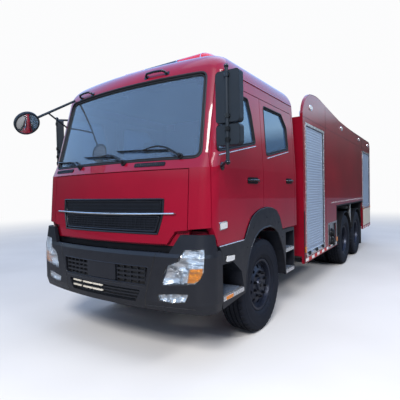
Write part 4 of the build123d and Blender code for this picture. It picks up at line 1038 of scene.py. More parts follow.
# seams between the bumper's middle and its ends, and the lip's seam
bm = bmesh.new()
for s in (1, -1):
    add_bead(bm, [(s * 0.712, 1.088), (s * 0.655, 0.88), (s * 0.600, 0.700), (s * 0.582, 0.560)], BUMPF, 0.0, 0.0035, False, 6)
    add_bead(bm, [(s * 0.582, 0.588), (s * 0.90, 0.600), (s * 1.10, 0.604)], BUMPF, 0.0, 0.0028, False, 6)
add_bead(bm, [(-0.58, 0.762), (0.0, 0.762), (0.58, 0.762)], BUMPF, 0.0, 0.0028, False, 6)
finish_mesh("bumper_seams", bm, BLACK_GLOSS, "chassis", 60)

# ------------------------------------------------------------------ headlamps and fog lamps
HEAD = [(0.994, 1.133), (1.176, 1.142), (1.184, 1.061), (1.178, 0.945), (1.150, 0.875), (1.102, 0.832),
        (0.785, 0.799), (0.780, 0.846), (0.812, 0.944), (0.843, 0.988), (0.943, 1.027), (0.960, 1.074)]
FOG = [(0.728, 0.708), (0.748, 0.652), (0.868, 0.643), (1.007, 0.661), (1.042, 0.736), (0.921, 0.733)]
TURN = [(1.060, 0.962), (1.172, 0.972), (1.168, 0.926), (1.138, 0.868), (1.094, 0.842), (1.034, 0.839)]


def flip(pts, s):
    return [(s * a, b) for a, b in pts] if s > 0 else [(-a, b) for a, b in pts][::-1]


def pot(bm, outline, surf, off, depth, shrink, mi=0, step=0.03):
    """An open pan behind an outline: side walls and a floor."""
    rim = spread(rounded(outline, 0.012, 3), step, True)
    cx = sum(p[0] for p in rim) / len(rim)
    cz = sum(p[1] for p in rim) / len(rim)
    base = [(cx + (p[0] - cx) * shrink, cz + (p[1] - cz) * shrink) for p in rim]
    A = [bm.verts.new(surf(p[0], p[1], off)) for p in rim]
    back = [surf(p[0], p[1], off) for p in base]
    B = [bm.verts.new(v + Vector((0, depth, 0))) for v in back]
    n = len(A)
    for i in range(n):
        f = bm.faces.new((A[i], A[(i + 1) % n], B[(i + 1) % n], B[i]))
        f.material_index = mi
    f = bm.faces.new(B)
    f.material_index = mi
    bmesh.ops.triangulate(bm, faces=[f])


def bowl(bm, at, r, depth, mi=0, segs=28, axis=(0, -1, 0)):
    """Parabolic reflector that opens along axis, with wall thickness."""
    prof = []
    for i in range(9):
        t = i / 8
        prof.append((-depth * (1 - t * t), r * t))
    prof.append((0.003, r * 1.04))
    for i in range(8, -1, -1):
        t = i / 8
        prof.append((-depth * (1 - t * t) - 0.003, r * t * 1.03))
    add_lathe(bm, at, axis, prof, segs, mi)


for side, s in SIDES:
    bm = bmesh.new()
    pot(bm, flip(HEAD, s), BUMPF, -0.010, 0.075, 0.86, 2)
    pot(bm, flip(FOG, s), BUMPF, -0.010, 0.045, 0.86, 2)
    # cut reflectors that fill each lamp: dished cells with flat facets
    rnd = random.Random(31)
    cells = ((1.082, 1.055, 0.090, 0.040), (0.985, 0.978, 0.075, 0.030), (0.880, 0.880, 0.105, 0.046))
    tilt = {}

    def dish(x, z, off, cells=cells, tilt=tilt, rnd=rnd, depth=0.012):
        d = depth
        for cx, cz, r, k in cells:
            e = ((abs(x) - cx) ** 2 + (z - cz) ** 2) / (r * r)
            if e < 1:
                d = max(d, depth + k * (1 - e))
        key = (round(x * 500), round(z * 500))
        if key not in tilt:
            tilt[key] = rnd.uniform(-0.0035, 0.0035)
        return BUMPF(x, z, -0.004) + Vector((0, d + tilt[key] - off, 0))
    add_patch(bm, flip(grown(HEAD, -0.004), s), dish, 0.0, 0.002, 0.019, 0)
    fog_cells = ((0.812, 0.684, 0.036, 0.022), (0.905, 0.689, 0.038, 0.024), (0.982, 0.700, 0.030, 0.018))

    def dish2(x, z, off, tilt=tilt):
        return dish(x, z, off, fog_cells, tilt, depth=0.008)
    add_patch(bm, flip(grown(FOG, -0.004), s), dish2, 0.0, 0.002, 0.013, 0)
    for cx, cz, d in ((1.082, 1.055, 0.030), (0.880, 0.880, 0.036), (0.812, 0.684, 0.016), (0.905, 0.689, 0.018)):
        c = BUMPF(s * cx, cz, -0.004) + Vector((0, d + 0.004, 0))
        r = 0.013 if cz > 0.75 else 0.007
        add_lathe(bm, c, (0, -1, 0), [(0, r), (d * 0.5, r * 0.95), (d * 0.72, r * 0.55), (d * 0.74, 0)], 16, 1)
    # dark lines that part the cells: painted shade in the gaps between them
    for line in (((0.955, 1.018), (1.176, 1.000)), ((0.850, 0.985), (1.030, 0.930), (1.150, 0.935)), ((0.800, 0.935), (1.020, 0.925))):
        add_bead(bm, [(s * a, b) for a, b in line], lambda x, z, off: BUMPF(x, z, -0.006 + off), 0.0, 0.0028, False, 6, 0.04, 2)
    # bright ribs in the upper lamp
    for i in range(4):
        z = 1.118 - 0.014 * i
        bar_strip(bm, *sorted((s * 1.000, s * 1.165)), z - 0.003, z + 0.003, BUMPF, -0.020 - 0.006 * i, 0.010, 0.05, 0)
    finish_mesh("headlamp_reflectors_" + side, bm, (REFLECTOR, CHROME, HOUSING), "chassis", 14)
    bm = bmesh.new()
    add_patch(bm, flip(TURN, s), BUMPF, -0.006, 0.016, 0.03)
    finish_mesh("turn_lamp_" + side, bm, AMBER, "chassis", 30)
    bm = bmesh.new()
    add_patch(bm, rounded(flip(HEAD, s), 0.012, 3), BUMPF, -0.001, 0.003, 0.035)
    add_patch(bm, rounded(flip(FOG, s), 0.010, 3), BUMPF, -0.001, 0.003, 0.035)
    ob = finish_mesh("headlamp_covers_" + side, bm, CLEAR, "chassis", 40)
    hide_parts("headlamps")
    bm = bmesh.new()
    add_bead(bm, rounded(flip(grown(HEAD, 0.002), s), 0.014, 3), BUMPF, -0.004, 0.0055, segs=6)
    add_bead(bm, rounded(flip(grown(FOG, 0.002), s), 0.012, 3), BUMPF, -0.004, 0.0055, segs=6)
    finish_mesh("headlamp_rims_" + side, bm, BLACK_GLOSS, "chassis", 60)
    # divider between the turn lamp and the main lamp
    bm = bmesh.new()
    add_bead(bm, [(s * a, b) for a, b in ((1.028, 0.836), (1.056, 0.966), (1.176, 0.978))], BUMPF, -0.006, 0.0035, False, 6)
    finish_mesh("headlamp_divider_" + side, bm, CHROME, "chassis", 60)

# ------------------------------------------------------------------ doors
FW = [(-1.062, 2.018), (-0.885, 2.645), (-0.360, 2.645), (-0.290, 2.480), (-0.222, 2.172)]
RW = [(0.055, 2.058), (0.050, 2.645), (0.625, 2.645), (0.795, 2.490), (0.822, 2.195)]


def handle(bm, surf, y0, y1, z):
    """Recessed cup with a pull bar over it."""
    add_patch(bm, rounded([(y0, z - 0.034), (y1, z - 0.034), (y1, z + 0.034), (y0, z + 0.034)], 0.02, 4), surf, 0.004, 0.006, 0.05, 1)
    pts = [surf(y0 + 0.012, z, 0.0), surf(y0 + 0.022, z, 0.026), surf(y0 + 0.06, z + 0.003, 0.036),
           surf((y0 + y1) / 2, z + 0.004, 0.038), surf(y1 - 0.05, z + 0.003, 0.034), surf(y1 - 0.02, z, 0.018), surf(y1 - 0.012, z, 0.0)]
    add_sweep(bm, spread(pts, 0.012), 0.0115, segs=10, mi=0)
    # key cylinder
    add_cyl(bm, surf(y1 + 0.035, z - 0.004, -0.002), surf(y1 + 0.035, z - 0.004, 0.007), 0.013, 16, 2, bevel=0.002)


for side, s in SIDES:
    sd = on_side(CAB, s)
    for door, win, hy, hz in (("front_door_", FW, (-0.470, -0.210), 1.760), ("rear_door_", RW, (0.680, 0.900), 1.770)):
        body = door + side
        bm = bmesh.new()
        add_bead(bm, rounded(win, 0.045), sd, -0.006, 0.011, segs=10)
        add_bead(bm, rounded(grown(win, -0.018), 0.034), sd, -0.014, 0.008, segs=8)
        finish_mesh(door + "window_seal_" + side, bm, SEAL, body, 60)
        bm = bmesh.new()
        # bright strip under the window: a painted highlight of the window seal's lower edge, drawn as a metal strip
        a, b = win[0], win[4]
        add_bead(bm, [(a[0] + 0.02, a[1] - 0.030), (b[0] - 0.01, b[1] - 0.030)], sd, 0.002, 0.0055, False, 8)
        finish_mesh(door + "window_highlight_strip_" + side, bm, FRAME_ALU, body, 60)
        bm = bmesh.new()
        handle(bm, sd, *hy, hz)
        finish_mesh(door + "handle_" + side, bm, (BLACK_GLOSS, DARK_PLASTIC, CHROME), body, 45)
        # inner trim panel with its armrest
        bm = bmesh.new()
        y0, y1 = (-1.02, -0.14) if win is FW else (0.06, 0.90)
        inner = on_side([(z, w - 0.063, yf, rc) for z, w, yf, rc in CAB], s)
        add_patch(bm, rounded([(y0 + 0.10, 1.50), (y1, 1.50), (y1, 1.98), (y0, 1.96)], 0.05, 5), inner, 0.0, 0.010, 0.08)
        add_patch(bm, rounded([(y0 + 0.22, 1.74), (y1 - 0.08, 1.74), (y1 - 0.08, 1.80), (y0 + 0.22, 1.80)], 0.02, 4), inner, -0.008, 0.045, 0.1)
        finish_mesh(door + "trim_panel_" + side, bm, DASH, body, 40)
    # lamp on the front door's lower front corner, with its bright rim
    bm = bmesh.new()
    add_patch(bm, rounded([(-1.060, 1.300), (-0.945, 1.308), (-0.945, 1.362), (-1.060, 1.356)], 0.008, 3), sd, 0.016, 0.016, 0.05, 0)
    add_bead(bm, rounded([(-1.066, 1.294), (-0.939, 1.302), (-0.939, 1.368), (-1.066, 1.362)], 0.010, 3), sd, 0.004, 0.005, segs=6, mi=1)
    finish_mesh("door_marker_lamp_" + side, bm, (WHITE_LENS, CHROME), "front_door_" + side, 40)
    # rain rail along the roof's edge
    bm = bmesh.new()
    pts = [P(s * (1.172 + 0.004), y, 2.832) for y in [-0.86 + 0.1 * i for i in range(20)]]
    add_sweep(bm, pts, 0.006, segs=6)
    finish_mesh("rain_rail_" + side, bm, RED, "chassis", 60)

# ------------------------------------------------------------------ steps and arches
for side, s in SIDES:
    flat = on_flat(1.236, s)
    bm = bmesh.new()
    # metal edges of the steps
    for y0, y1, z in ((-1.040, -0.625, 0.672), (0.602, 0.903, 0.878), (0.602, 0.903, 0.600)):
        bar_strip(bm, y0, y1, z - 0.044, z - 0.002, flat, 0.003, 0.004, 0.1)
        a, b = sorted((s * 1.232, s * 1.206))
        add_box(bm, a, b, y0, y1, z - 0.003, z + 0.002, 0, 0.001)
    finish_mesh("step_edges_" + side, bm, FRAME_ALU, "chassis", 35)
    bm = bmesh.new()
    for y0, y1, z in ((-1.036, -0.640, 0.672), (0.606, 0.899, 0.878), (0.606, 0.899, 0.600)):
        a, b = sorted((s * 0.992, s * 1.204))
        add_box(bm, a, b, y0, y1, z - 0.001, z + 0.003, 0, 0.001)
        n, m = int((y1 - y0) / 0.030), 7
        for i in range(n):
            for j in range(m):
                yy, xx = y0 + 0.018 + 0.030 * i, s * (1.004 + 0.030 * j)
                r = bmesh.ops.create_cone(bm, cap_ends=True, segments=6, radius1=0.009, radius2=0.006, depth=0.006)
                bmesh.ops.translate(bm, vec=P(xx, yy, z + 0.005), verts=r["verts"])
    finish_mesh("step_treads_" + side, bm, TREAD_GREY, "chassis", 35)
    bm = bmesh.new()
    bar_strip(bm, -0.985, -0.860, 0.634, 0.664, flat, 0.007, 0.006, 0.06, 0)
    add_patch(bm, rounded([(-0.990, 0.990), (-0.835, 0.984), (-0.822, 1.030), (-0.970, 1.042)], 0.014, 4), flat, 0.012, 0.014, 0.05, 1)
    add_bead(bm, rounded([(-0.996, 0.984), (-0.829, 0.978), (-0.814, 1.035), (-0.974, 1.049)], 0.016, 4), flat, 0.001, 0.005, segs=6, mi=2)
    finish_mesh("side_lamps_" + side, bm, (AMBER, WHITE_LENS, BLACK_GLOSS), "chassis", 35)
    # bright strip between the door's lower edge and the arch trim
    bm = bmesh.new()
    pts = [(-1.086, 1.144), (-0.84, 1.145), (-0.590, 1.146)]
    add_bead(bm, pts, flat, -0.006, 0.0055, False, 8)
    finish_mesh("sill_strip_" + side, bm, FRAME_ALU, "chassis", 60)
    # arch lip: rolled edge round the wheel opening
    bm = bmesh.new()
    arch = [(0.592, 0.560), (0.575, 0.700), (0.520, 0.870), (0.449, 0.985), (0.338, 1.127), (0.230, 1.190),
            (0.090, 1.226), (-0.090, 1.222), (-0.220, 1.195), (-0.330, 1.140), (-0.427, 1.044),
            (-0.486, 0.949), (-0.535, 0.836), (-0.572, 0.660), (-0.596, 0.610)]
    add_bead(bm, arch, flat, -0.006, 0.012, False, 8)
    outl = [(-0.575, 1.140), (-0.474, 1.281), (-0.387, 1.366), (-0.283, 1.409), (-0.172, 1.437),
            (0.007, 1.451), (0.162, 1.437), (0.300, 1.400), (0.405, 1.310), (0.499, 1.140)]
    add_bead(bm, outl, flat, -0.004, 0.006, False, 8)
    for y, z in ((-0.52, 1.06), (-0.36, 1.25), (0.0, 1.34), (0.36, 1.25), (0.50, 1.05)):
        add_cyl(bm, flat(y, z, -0.002), flat(y, z, 0.004), 0.011, 14, bevel=0.002)
    finish_mesh("arch_lip_" + side, bm, GREY_PLASTIC, "chassis", 60)

# ------------------------------------------------------------------ mirrors
# tube's place and the heads' turn about it; the right one is swung back towards the cab
for side, s, mx, my, turn, top in (("left", 1, 1.425, -1.250, 0.0, (1.190, -0.806)),
                                   ("right", -1, -1.4491, -0.888, math.radians(-34.0), (-1.190, -0.646))):
    body = "front_door_" + side

    def head(u, v, z, mx=mx, my=my, turn=turn):
        return P(mx + u * math.cos(turn) - v * math.sin(turn), my + u * math.sin(turn) + v * math.cos(turn), z)

    def head_back(u, z, off=0.0):
        return head(u, 0.078 + off, z)
    bm = bmesh.new()
    for z0, z1 in ((2.242, 2.646), (2.050, 2.200)):
        out = rounded([(-0.100, z0), (0.100, z0), (0.100, z1), (-0.100, z1)], 0.028, 5)
        add_patch(bm, out, head_back, 0.0015, 0.003, 0.5, 0)
        add_bead(bm, rounded([(-0.104, z0 - 0.004), (0.104, z0 - 0.004), (0.104, z1 + 0.004),
                              (-0.104, z1 + 0.004)], 0.030, 5), head_back, 0.000, 0.005, segs=6, mi=1)
    finish_mesh("mirror_glass_" + side, bm, (MIRROR, BLACK_GLOSS), body, 40)
    bm = bmesh.new()
    for z in (2.62, 2.28, 2.17, 2.08):
        # clamps on the tube, in front of the heads
        add_cyl(bm, head(0, 0, z - 0.020), head(0, 0, z + 0.020), 0.022, 16, bevel=0.003)
        add_cyl(bm, head(-0.026, 0.009, z), head(0.026, 0.009, z), 0.014, 10, bevel=0.002)
    # ball joints at the door
    for x, y, z in ((s * 1.222, -1.006, 1.884), (*top, 2.672)):
        bmesh.ops.create_uvsphere(bm, u_segments=18, v_segments=12, radius=0.024,
                                  matrix=Matrix.Translation(P(x, y, z)))
    add_lathe(bm, P(s * 1.218, -0.996, 1.884), (s, 0, 0), [(-0.002, 0.040), (0.008, 0.038), (0.014, 0.026), (0.014, 0.0)], 20)
    # top and bottom caps of the tube
    for z in (1.892, 2.694):
        bmesh.ops.create_uvsphere(bm, u_segments=16, v_segments=10, radius=0.021,
                                  matrix=Matrix.Translation(head(0, 0, z)))
    # rims round the heads' front edges
    for z0, z1 in ((2.226, 2.662), (2.036, 2.214)):
        add_bead(bm, rounded([(-0.112, z0 + 0.003), (0.112, z0 + 0.003), (0.112, z1 - 0.003), (-0.112, z1 - 0.003)], 0.032, 6),
                 lambda u, z, off=0.0: head(u, 0.010 + off, z), 0.0, 0.003, segs=6)
    finish_mesh("mirror_clamps_" + side, bm, BLACK_GLOSS, body, 45)

bm = bmesh.new()
fm = P(-0.966, -1.600, 2.465)
ax = Vector((0.798, -0.066, -0.598)).normalized()
add_lathe(bm, fm, ax, [(0.034, 0.0), (0.0333, 0.020), (0.0312, 0.042), (0.0275, 0.066), (0.0225, 0.090), (0.0165, 0.112), (0.0155, 0.120)], 40, 1)
add_lathe(bm, fm, ax, [(0.012, 0.1375), (0.017, 0.136), (0.019, 0.129), (0.017, 0.122), (0.0155, 0.118)], 36, 0)
add_lathe(bm, fm, -ax, [(0.012, 0.137), (0.026, 0.118), (0.036, 0.080), (0.040, 0.0)], 36, 0)
finish_mesh("front_mirror_head", bm, (MIRROR_CASE, MIRROR), "chassis", 35)

# ------------------------------------------------------------------ light bar
bm = bmesh.new()
n = 14


def bar_section(y_mid, half_y, x):
    """Oval section of the light bar's cover at x, lower towards its ends."""
    e = max(0.0, (abs(x) - 0.62) / 0.21)
    top = 3.278 - 0.110 * min(e, 1.0) ** 1.6
    pts = []
    for k in range(n + 1):
        a = math.pi * k / n
        pts.append((y_mid - half_y * math.copysign(abs(math.cos(a)) ** 0.7, math.cos(a)),
                    3.150 + (top - 3.150) * math.sin(a) ** 0.6))
    return pts


xs = [-0.830 + 1.66 * i / 48 for i in range(49)]
rings = [[bm.verts.new(P(x, y, z)) for y, z in bar_section(-0.290, 0.130, x)] for x in xs]
for i in range(48):
    xm = (xs[i] + xs[i + 1]) / 2
    mi = 0 if abs(xm) > 0.26 else 1
    for k in range(n):
        f = bm.faces.new((rings[i][k], rings[i][k + 1], rings[i + 1][k + 1], rings[i + 1][k]))
        f.material_index = mi
    f = bm.faces.new((rings[i][n], rings[i][0], rings[i + 1][0], rings[i + 1][n]))
    f.material_index = 2
for ring in (rings[0], rings[-1]):
    bm.faces.new(ring)
add_box(bm, -0.835, 0.835, -0.425, -0.155, 3.134, 3.152, 2, 0.006)
for x in (-0.5, 0.5):
    add_box(bm, x - 0.04, x + 0.04, -0.34, -0.24, 3.099, 3.136, 2, 0.004)
    for y in (-0.32, -0.26):
        hex_nut(bm, P(x + 0.05, y, 3.136), (0, 0, -1), 0.008, 0.010, 3)
for x in (-0.262, 0.262, -0.62, 0.62):
    ring = [P(x, y, z) for y, z in bar_section(-0.290, 0.131, x)]
    add_sweep(bm, ring, 0.004, segs=6, mi=3)
ob = finish_mesh("light_bar_cover", bm, (RED_BAR, GREY_PLASTIC, DARK_PLASTIC, CHROME), "chassis", 40)
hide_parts("light_bar")

# ------------------------------------------------------------------ body sides
SHUT = ((1.475, 2.494, 0.660, 2.630), (6.460, 7.600, 1.150, 2.630))


def slatted(bm, surf, a0, a1, z0, z1, base, mi=0, pitch=0.041):
    """Interlocking shutter slats as one folded sheet with a back."""
    prof = []
    n = int(round((z1 - z0 - 0.075) / pitch))
    step = (z1 - z0 - 0.075) / n
    z = z0 + 0.075
    for i in range(n):
        prof += [(z + 0.001, -0.0035), (z + 0.004, 0.0), (z + step * 0.42, 0.0022), (z + step * 0.80, 0.0016), (z + step - 0.004, 0.0), (z + step - 0.0005, -0.0035)]
        z += step
    cols = [a0, (a0 + a1) / 2, a1]
    grid = [[bm.verts.new(surf(a, zz, base + o)) for zz, o in prof] for a in cols]
    back = [[bm.verts.new(surf(a, zz, base - 0.010)) for zz in (prof[0][0], prof[-1][0])] for a in cols]
    for i in range(len(cols) - 1):
        for k in range(len(prof) - 1):
            f = bm.faces.new((grid[i][k], grid[i][k + 1], grid[i + 1][k + 1], grid[i + 1][k]))
            f.material_index = mi
        bm.faces.new((back[i][0], back[i][1], back[i + 1][1], back[i + 1][0])).material_index = mi
        bm.faces.new((grid[i][0], grid[i + 1][0], back[i + 1][0], back[i][0])).material_index = mi
        bm.faces.new((grid[i][-1], back[i][1], back[i + 1][1], grid[i + 1][-1])).material_index = mi
    for c in (0, -1):
        f = bm.faces.new(grid[c] + [back[c][1], back[c][0]])
        f.material_index = mi


bm = bmesh.new()
for side, s in SIDES:
    flat = on_flat(1.231, s)
    for y0, y1, z0, z1 in SHUT:
        slatted(bm, flat, y0 + 0.018, y1 - 0.018, z0, z1 - 0.01, 0.0)
        # bottom rail with its lift bar
        bar_strip(bm, y0 + 0.018, y1 - 0.018, z0 + 0.004, z0 + 0.074, flat, 0.004, 0.018, 5, 0)
        pts = [flat(y0 + 0.06, z0 + 0.044, 0.002), flat(y0 + 0.06, z0 + 0.044, 0.014), flat(y1 - 0.06, z0 + 0.044, 0.014), flat(y1 - 0.06, z0 + 0.044, 0.002)]
        add_sweep(bm, spread(pts, 0.3), 0.007, segs=10, mi=1)
x0, x1, z0, z1 = -0.620, 0.620, 1.150, 2.560
rear = on_rear(7.716)
slatted(bm, rear, x0 + 0.018, x1 - 0.018, z0, z1 - 0.01, 0.0)
bar_strip(bm, x0 + 0.018, x1 - 0.018, z0 + 0.004, z0 + 0.074, rear, 0.004, 0.018, 5, 0)
pts = [rear(x0 + 0.06, z0 + 0.044, 0.002), rear(x0 + 0.06, z0 + 0.044, 0.014), rear(x1 - 0.06, z0 + 0.044, 0.014), rear(x1 - 0.06, z0 + 0.044, 0.002)]
add_sweep(bm, spread(pts, 0.3), 0.007, segs=10, mi=1)
ob = finish_mesh("shutter_slats", bm, (SHUTTER, FRAME_ALU), "chassis", 32)
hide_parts("roller_shutters")

for side, s in SIDES:
    flat = on_flat(1.245, s)
    bm = bmesh.new()
    for y0, y1, z0, z1 in SHUT:
        # channels at both ends, top rail, sill
        for a, b in ((y0 - 0.026, y0 + 0.016), (y1 - 0.016, y1 + 0.026)):
            bar_strip(bm, a, b, z0 - 0.030, z1 + 0.030, flat, 0.006, 0.020, 5)
        bar_strip(bm, y0 - 0.026, y1 + 0.026, z1 - 0.004, z1 + 0.032, flat, 0.009, 0.022, 5)
        bar_strip(bm, y0 - 0.026, y1 + 0.026, z0 - 0.032, z0 + 0.002, flat, 0.010, 0.024, 5)
    finish_mesh("shutter_frames_" + side, bm, FRAME_ALU, "chassis", 35)
    bm = bmesh.new()
    for y0, y1, z0, z1 in SHUT:
        for a in (y0 + 0.017, y1 - 0.021):
            bar_strip(bm, a, a + 0.004, z0, z1, flat, 0.000, 0.012, 5)
    for i in range(3):
        # latches on the sill under the front shutter
        yy = 1.60 + 0.38 * i
        add_box(bm, *sorted((s * 1.246, s * 1.268)), yy - 0.035, yy + 0.035, 0.642, 0.700, 0, 0.006)
        add_cyl(bm, P(s * 1.262, yy, 0.671), P(s * 1.276, yy, 0.671), 0.016, 14, bevel=0.003)
    finish_mesh("shutter_seals_" + side, bm, SEAL, "chassis", 35)

    # bright plate round the hose inlets, and the cream plate at the rear
    bm = bmesh.new()
    pocket = on_flat(1.223, s)
    add_patch(bm, [(2.764, 0.576), (3.396, 0.576), (3.396, 1.006), (2.764, 1.006)], pocket, 0.003, 0.003, 0.4)
    for a, b, c, d in ((2.744, 2.776, 0.556, 1.026), (3.384, 3.416, 0.556, 1.026)):
        bar_strip(bm, a, b, c, d, flat, 0.004, 0.012, 5)
    for c, d in ((0.556, 0.588), (0.994, 1.026)):
        bar_strip(bm, 2.776, 3.384, c, d, flat, 0.004, 0.012, 5)
    finish_mesh("inlet_plate_" + side, bm, ALU, "chassis", 35)
    bm = bmesh.new()
    for y, z in ((3.08, 0.82), (3.08, 0.655)):
        add_lathe(bm, P(s * 1.223, y, z), (s, 0, 0), [(0.003, 0.088), (0.012, 0.088), (0.014, 0.082), (0.014, 0.063)], 32)
        add_lathe(bm, P(s * 1.285, y, z), (s, 0, 0), [(-0.026, 0.0625), (-0.024, 0.068), (-0.004, 0.068), (0.0, 0.064), (0.003, 0.058), (0.003, 0.0)], 32)
        for k in range(3):
            t = 2 * math.pi * k / 3 + 0.4
            c = P(s * 1.272, y + 0.068 * math.cos(t), z + 0.068 * math.sin(t))
            add_cyl(bm, c + Vector((-0.010, 0, 0)), c + Vector((0.010, 0, 0)), 0.013, 12, bevel=0.002)
        for k in range(6):
            t = 2 * math.pi * k / 6
            hex_nut(bm, P(s * 1.237, y + 0.076 * math.cos(t), z + 0.076 * math.sin(t)), (s, 0, 0), 0.006, 0.006)
    # posts of the inlet bay
    for y in (2.86, 3.30):
        add_box(bm, *sorted((s * 1.226, s * 1.243)), y - 0.018, y + 0.018, 0.580, 1.004, 0, 0.003)
    finish_mesh("inlet_caps_" + side, bm, DARK_PLASTIC, "chassis", 35)
    bm = bmesh.new()
    bar_strip(bm, 6.500, 7.690, 0.640, 1.090, flat, 0.004, 0.006, 0.6)
    finish_mesh("rear_lower_plate_" + side, bm, CREAM, "chassis", 35)

    # striped film on the skirts
    bm = bmesh.new()
    for y0, y1 in ((1.420, 3.380), (6.500, 7.700)):
        n = int(round((y1 - y0) / 0.15))
        for i in range(n):
            a, b = y0 + (y1 - y0) * i / n, y0 + (y1 - y0) * (i + 1) / n
            add_patch(bm, [(a, 0.560), (b, 0.560), (b, 0.606), (a, 0.606)], flat, 0.0014, 0.0014, 5, i % 2)
    finish_mesh("reflective_film_" + side, bm, (WHITE_MARK, RED_MARK), "chassis", 35)

    # small lamps
    bm = bmesh.new()
    n = 33
    for i in range(n):
        y = 3.07 + (7.19 - 3.07) * i / (n - 1)
        if 6.42 < y < 7.64:
            continue
        add_lathe(bm, P(s * 1.245, y, 1.392), (s, 0, 0), [(0.0, 0.013), (0.004, 0.012), (0.006, 0.007), (0.006, 0.0)], 14, 0)
    for y, z in ((1.75, 2.930), (3.92, 2.905), (5.95, 2.900), (7.33, 2.880)):
        add_patch(bm, rounded([(y - 0.052, z - 0.026), (y + 0.052, z - 0.026), (y + 0.052, z + 0.026), (y - 0.052, z + 0.026)], 0.012, 4), flat, 0.020, 0.020, 0.2, 0)
        add_bead(bm, rounded([(y - 0.060, z - 0.034), (y + 0.060, z - 0.034), (y + 0.060, z + 0.034), (y - 0.060, z + 0.034)], 0.016, 4), flat, 0.003, 0.006, segs=6, mi=1)
    finish_mesh("body_white_lamps_" + side, bm, (WHITE_LENS, CHROME), "chassis", 35)
    bm = bmesh.new()
    for y, z in ((1.410, 0.745), (3.43, 0.66), (6.60, 1.12), (7.66, 1.12)):
        add_patch(bm, rounded([(y - 0.018, z - 0.045), (y + 0.018, z - 0.045), (y + 0.018, z + 0.045), (y - 0.018, z + 0.045)], 0.008, 3), flat, 0.012, 0.012, 0.2, 0)
    finish_mesh("body_amber_lamps_" + side, bm, AMBER, "chassis", 35)

    # corner strip on the skirt's front edge, wheel opening's black border
    bm = bmesh.new()
    bar_strip(bm, 1.353, 1.388, 0.550, 1.330, flat, 0.004, 0.006, 5)
    bar_strip(bm, 3.420, 3.457, 0.556, 1.296, flat, 0.003, 0.006, 5)
    bar_strip(bm, 3.420, 6.490, 1.300, 1.330, flat, 0.003, 0.006, 0.8)
    bar_strip(bm, 6.452, 6.486, 0.556, 1.300, flat, 0.003, 0.006, 5)
    finish_mesh("skirt_edges_" + side, bm, DARK_PLASTIC, "chassis", 35)

    # parapet's rounded top edge
    def arc(a, b, c, n=10):
        out = []
        for i in range(n):
            t = i / n
            ctrl = (2 * b[0] - (a[0] + c[0]) / 2, 2 * b[1] - (a[1] + c[1]) / 2)
            out.append((a[0] * (1 - t) ** 2 + 2 * ctrl[0] * t * (1 - t) + c[0] * t * t,
                        a[1] * (1 - t) ** 2 + 2 * ctrl[1] * t * (1 - t) + c[1] * t * t))
        return out
    line = arc((1.352, 2.780), (1.462, 2.990), (1.700, 3.128)) + arc((1.700, 3.128), (2.030, 3.170), (2.360, 3.158)) \
        + arc((2.360, 3.158), (3.000, 3.098), (3.700, 3.035)) + arc((3.700, 3.035), (4.600, 3.008), (5.500, 3.000)) \
        + [(5.5 + 0.25 * i, 3.0) for i in range(9)] + arc((7.520, 3.000), (7.668, 2.938), (7.730, 2.790)) + [(7.730, 2.790)]
    cap = on_flat(1.225, s)
    bm = bmesh.new()
    front = [p for p in line if p[0] < 5.0]
    back = [p for p in line if p[0] >= 4.9]
    for off in (0.0165, -0.0165):
        add_sweep(bm, [cap(a, b, off) for a, b in front], 0.0055, segs=6, mi=0)
        add_sweep(bm, [cap(a, b, off) for a, b in back], 0.0065, segs=6, mi=1)
    # dark strip on the top towards the rear
    for i in range(len(back) - 1):
        a, b = back[i], back[i + 1]
        vs = [bm.verts.new(cap(a[0], a[1] + 0.002, 0.0165)), bm.verts.new(cap(b[0], b[1] + 0.002, 0.0165)),
              bm.verts.new(cap(b[0], b[1] + 0.002, -0.0165)), bm.verts.new(cap(a[0], a[1] + 0.002, -0.0165))]
        f = bm.faces.new(vs)
        f.material_index = 1
    finish_mesh("parapet_edge_" + side, bm, (RED_BODY, DARK_PLASTIC), "chassis", 60)

    # joints between the body's panels
    bm = bmesh.new()
    for y, z0, z1 in ((2.640, 1.03, 3.10), (6.360, 1.33, 2.990)):
        add_sweep(bm, [flat(y, z0, 0.0), flat(y, (z0 + z1) / 2, 0.0), flat(y, z1, 0.0)], 0.0022, segs=6)
    add_sweep(bm, [flat(y, 2.740, 0.0) for y in (1.36, 3.0, 5.0, 7.72)], 0.0022, segs=6)
    finish_mesh("panel_joints_" + side, bm, DARK_PLASTIC, "chassis", 60)

# rear doorway's frame
bm = bmesh.new()
rear = on_rear(7.730)
x0, x1, z0, z1 = -0.620, 0.620, 1.150, 2.560
for a, b in ((x0 - 0.028, x0 + 0.016), (x1 - 0.016, x1 + 0.028)):
    bar_strip(bm, a, b, z0 - 0.03, z1 + 0.03, rear, 0.006, 0.020, 5)
bar_strip(bm, x0 - 0.028, x1 + 0.028, z1 - 0.004, z1 + 0.034, rear, 0.010, 0.022, 5)
bar_strip(bm, x0 - 0.028, x1 + 0.028, z0 - 0.034, z0 + 0.002, rear, 0.010, 0.022, 5)
finish_mesh("rear_shutter_frame", bm, FRAME_ALU, "chassis", 35)

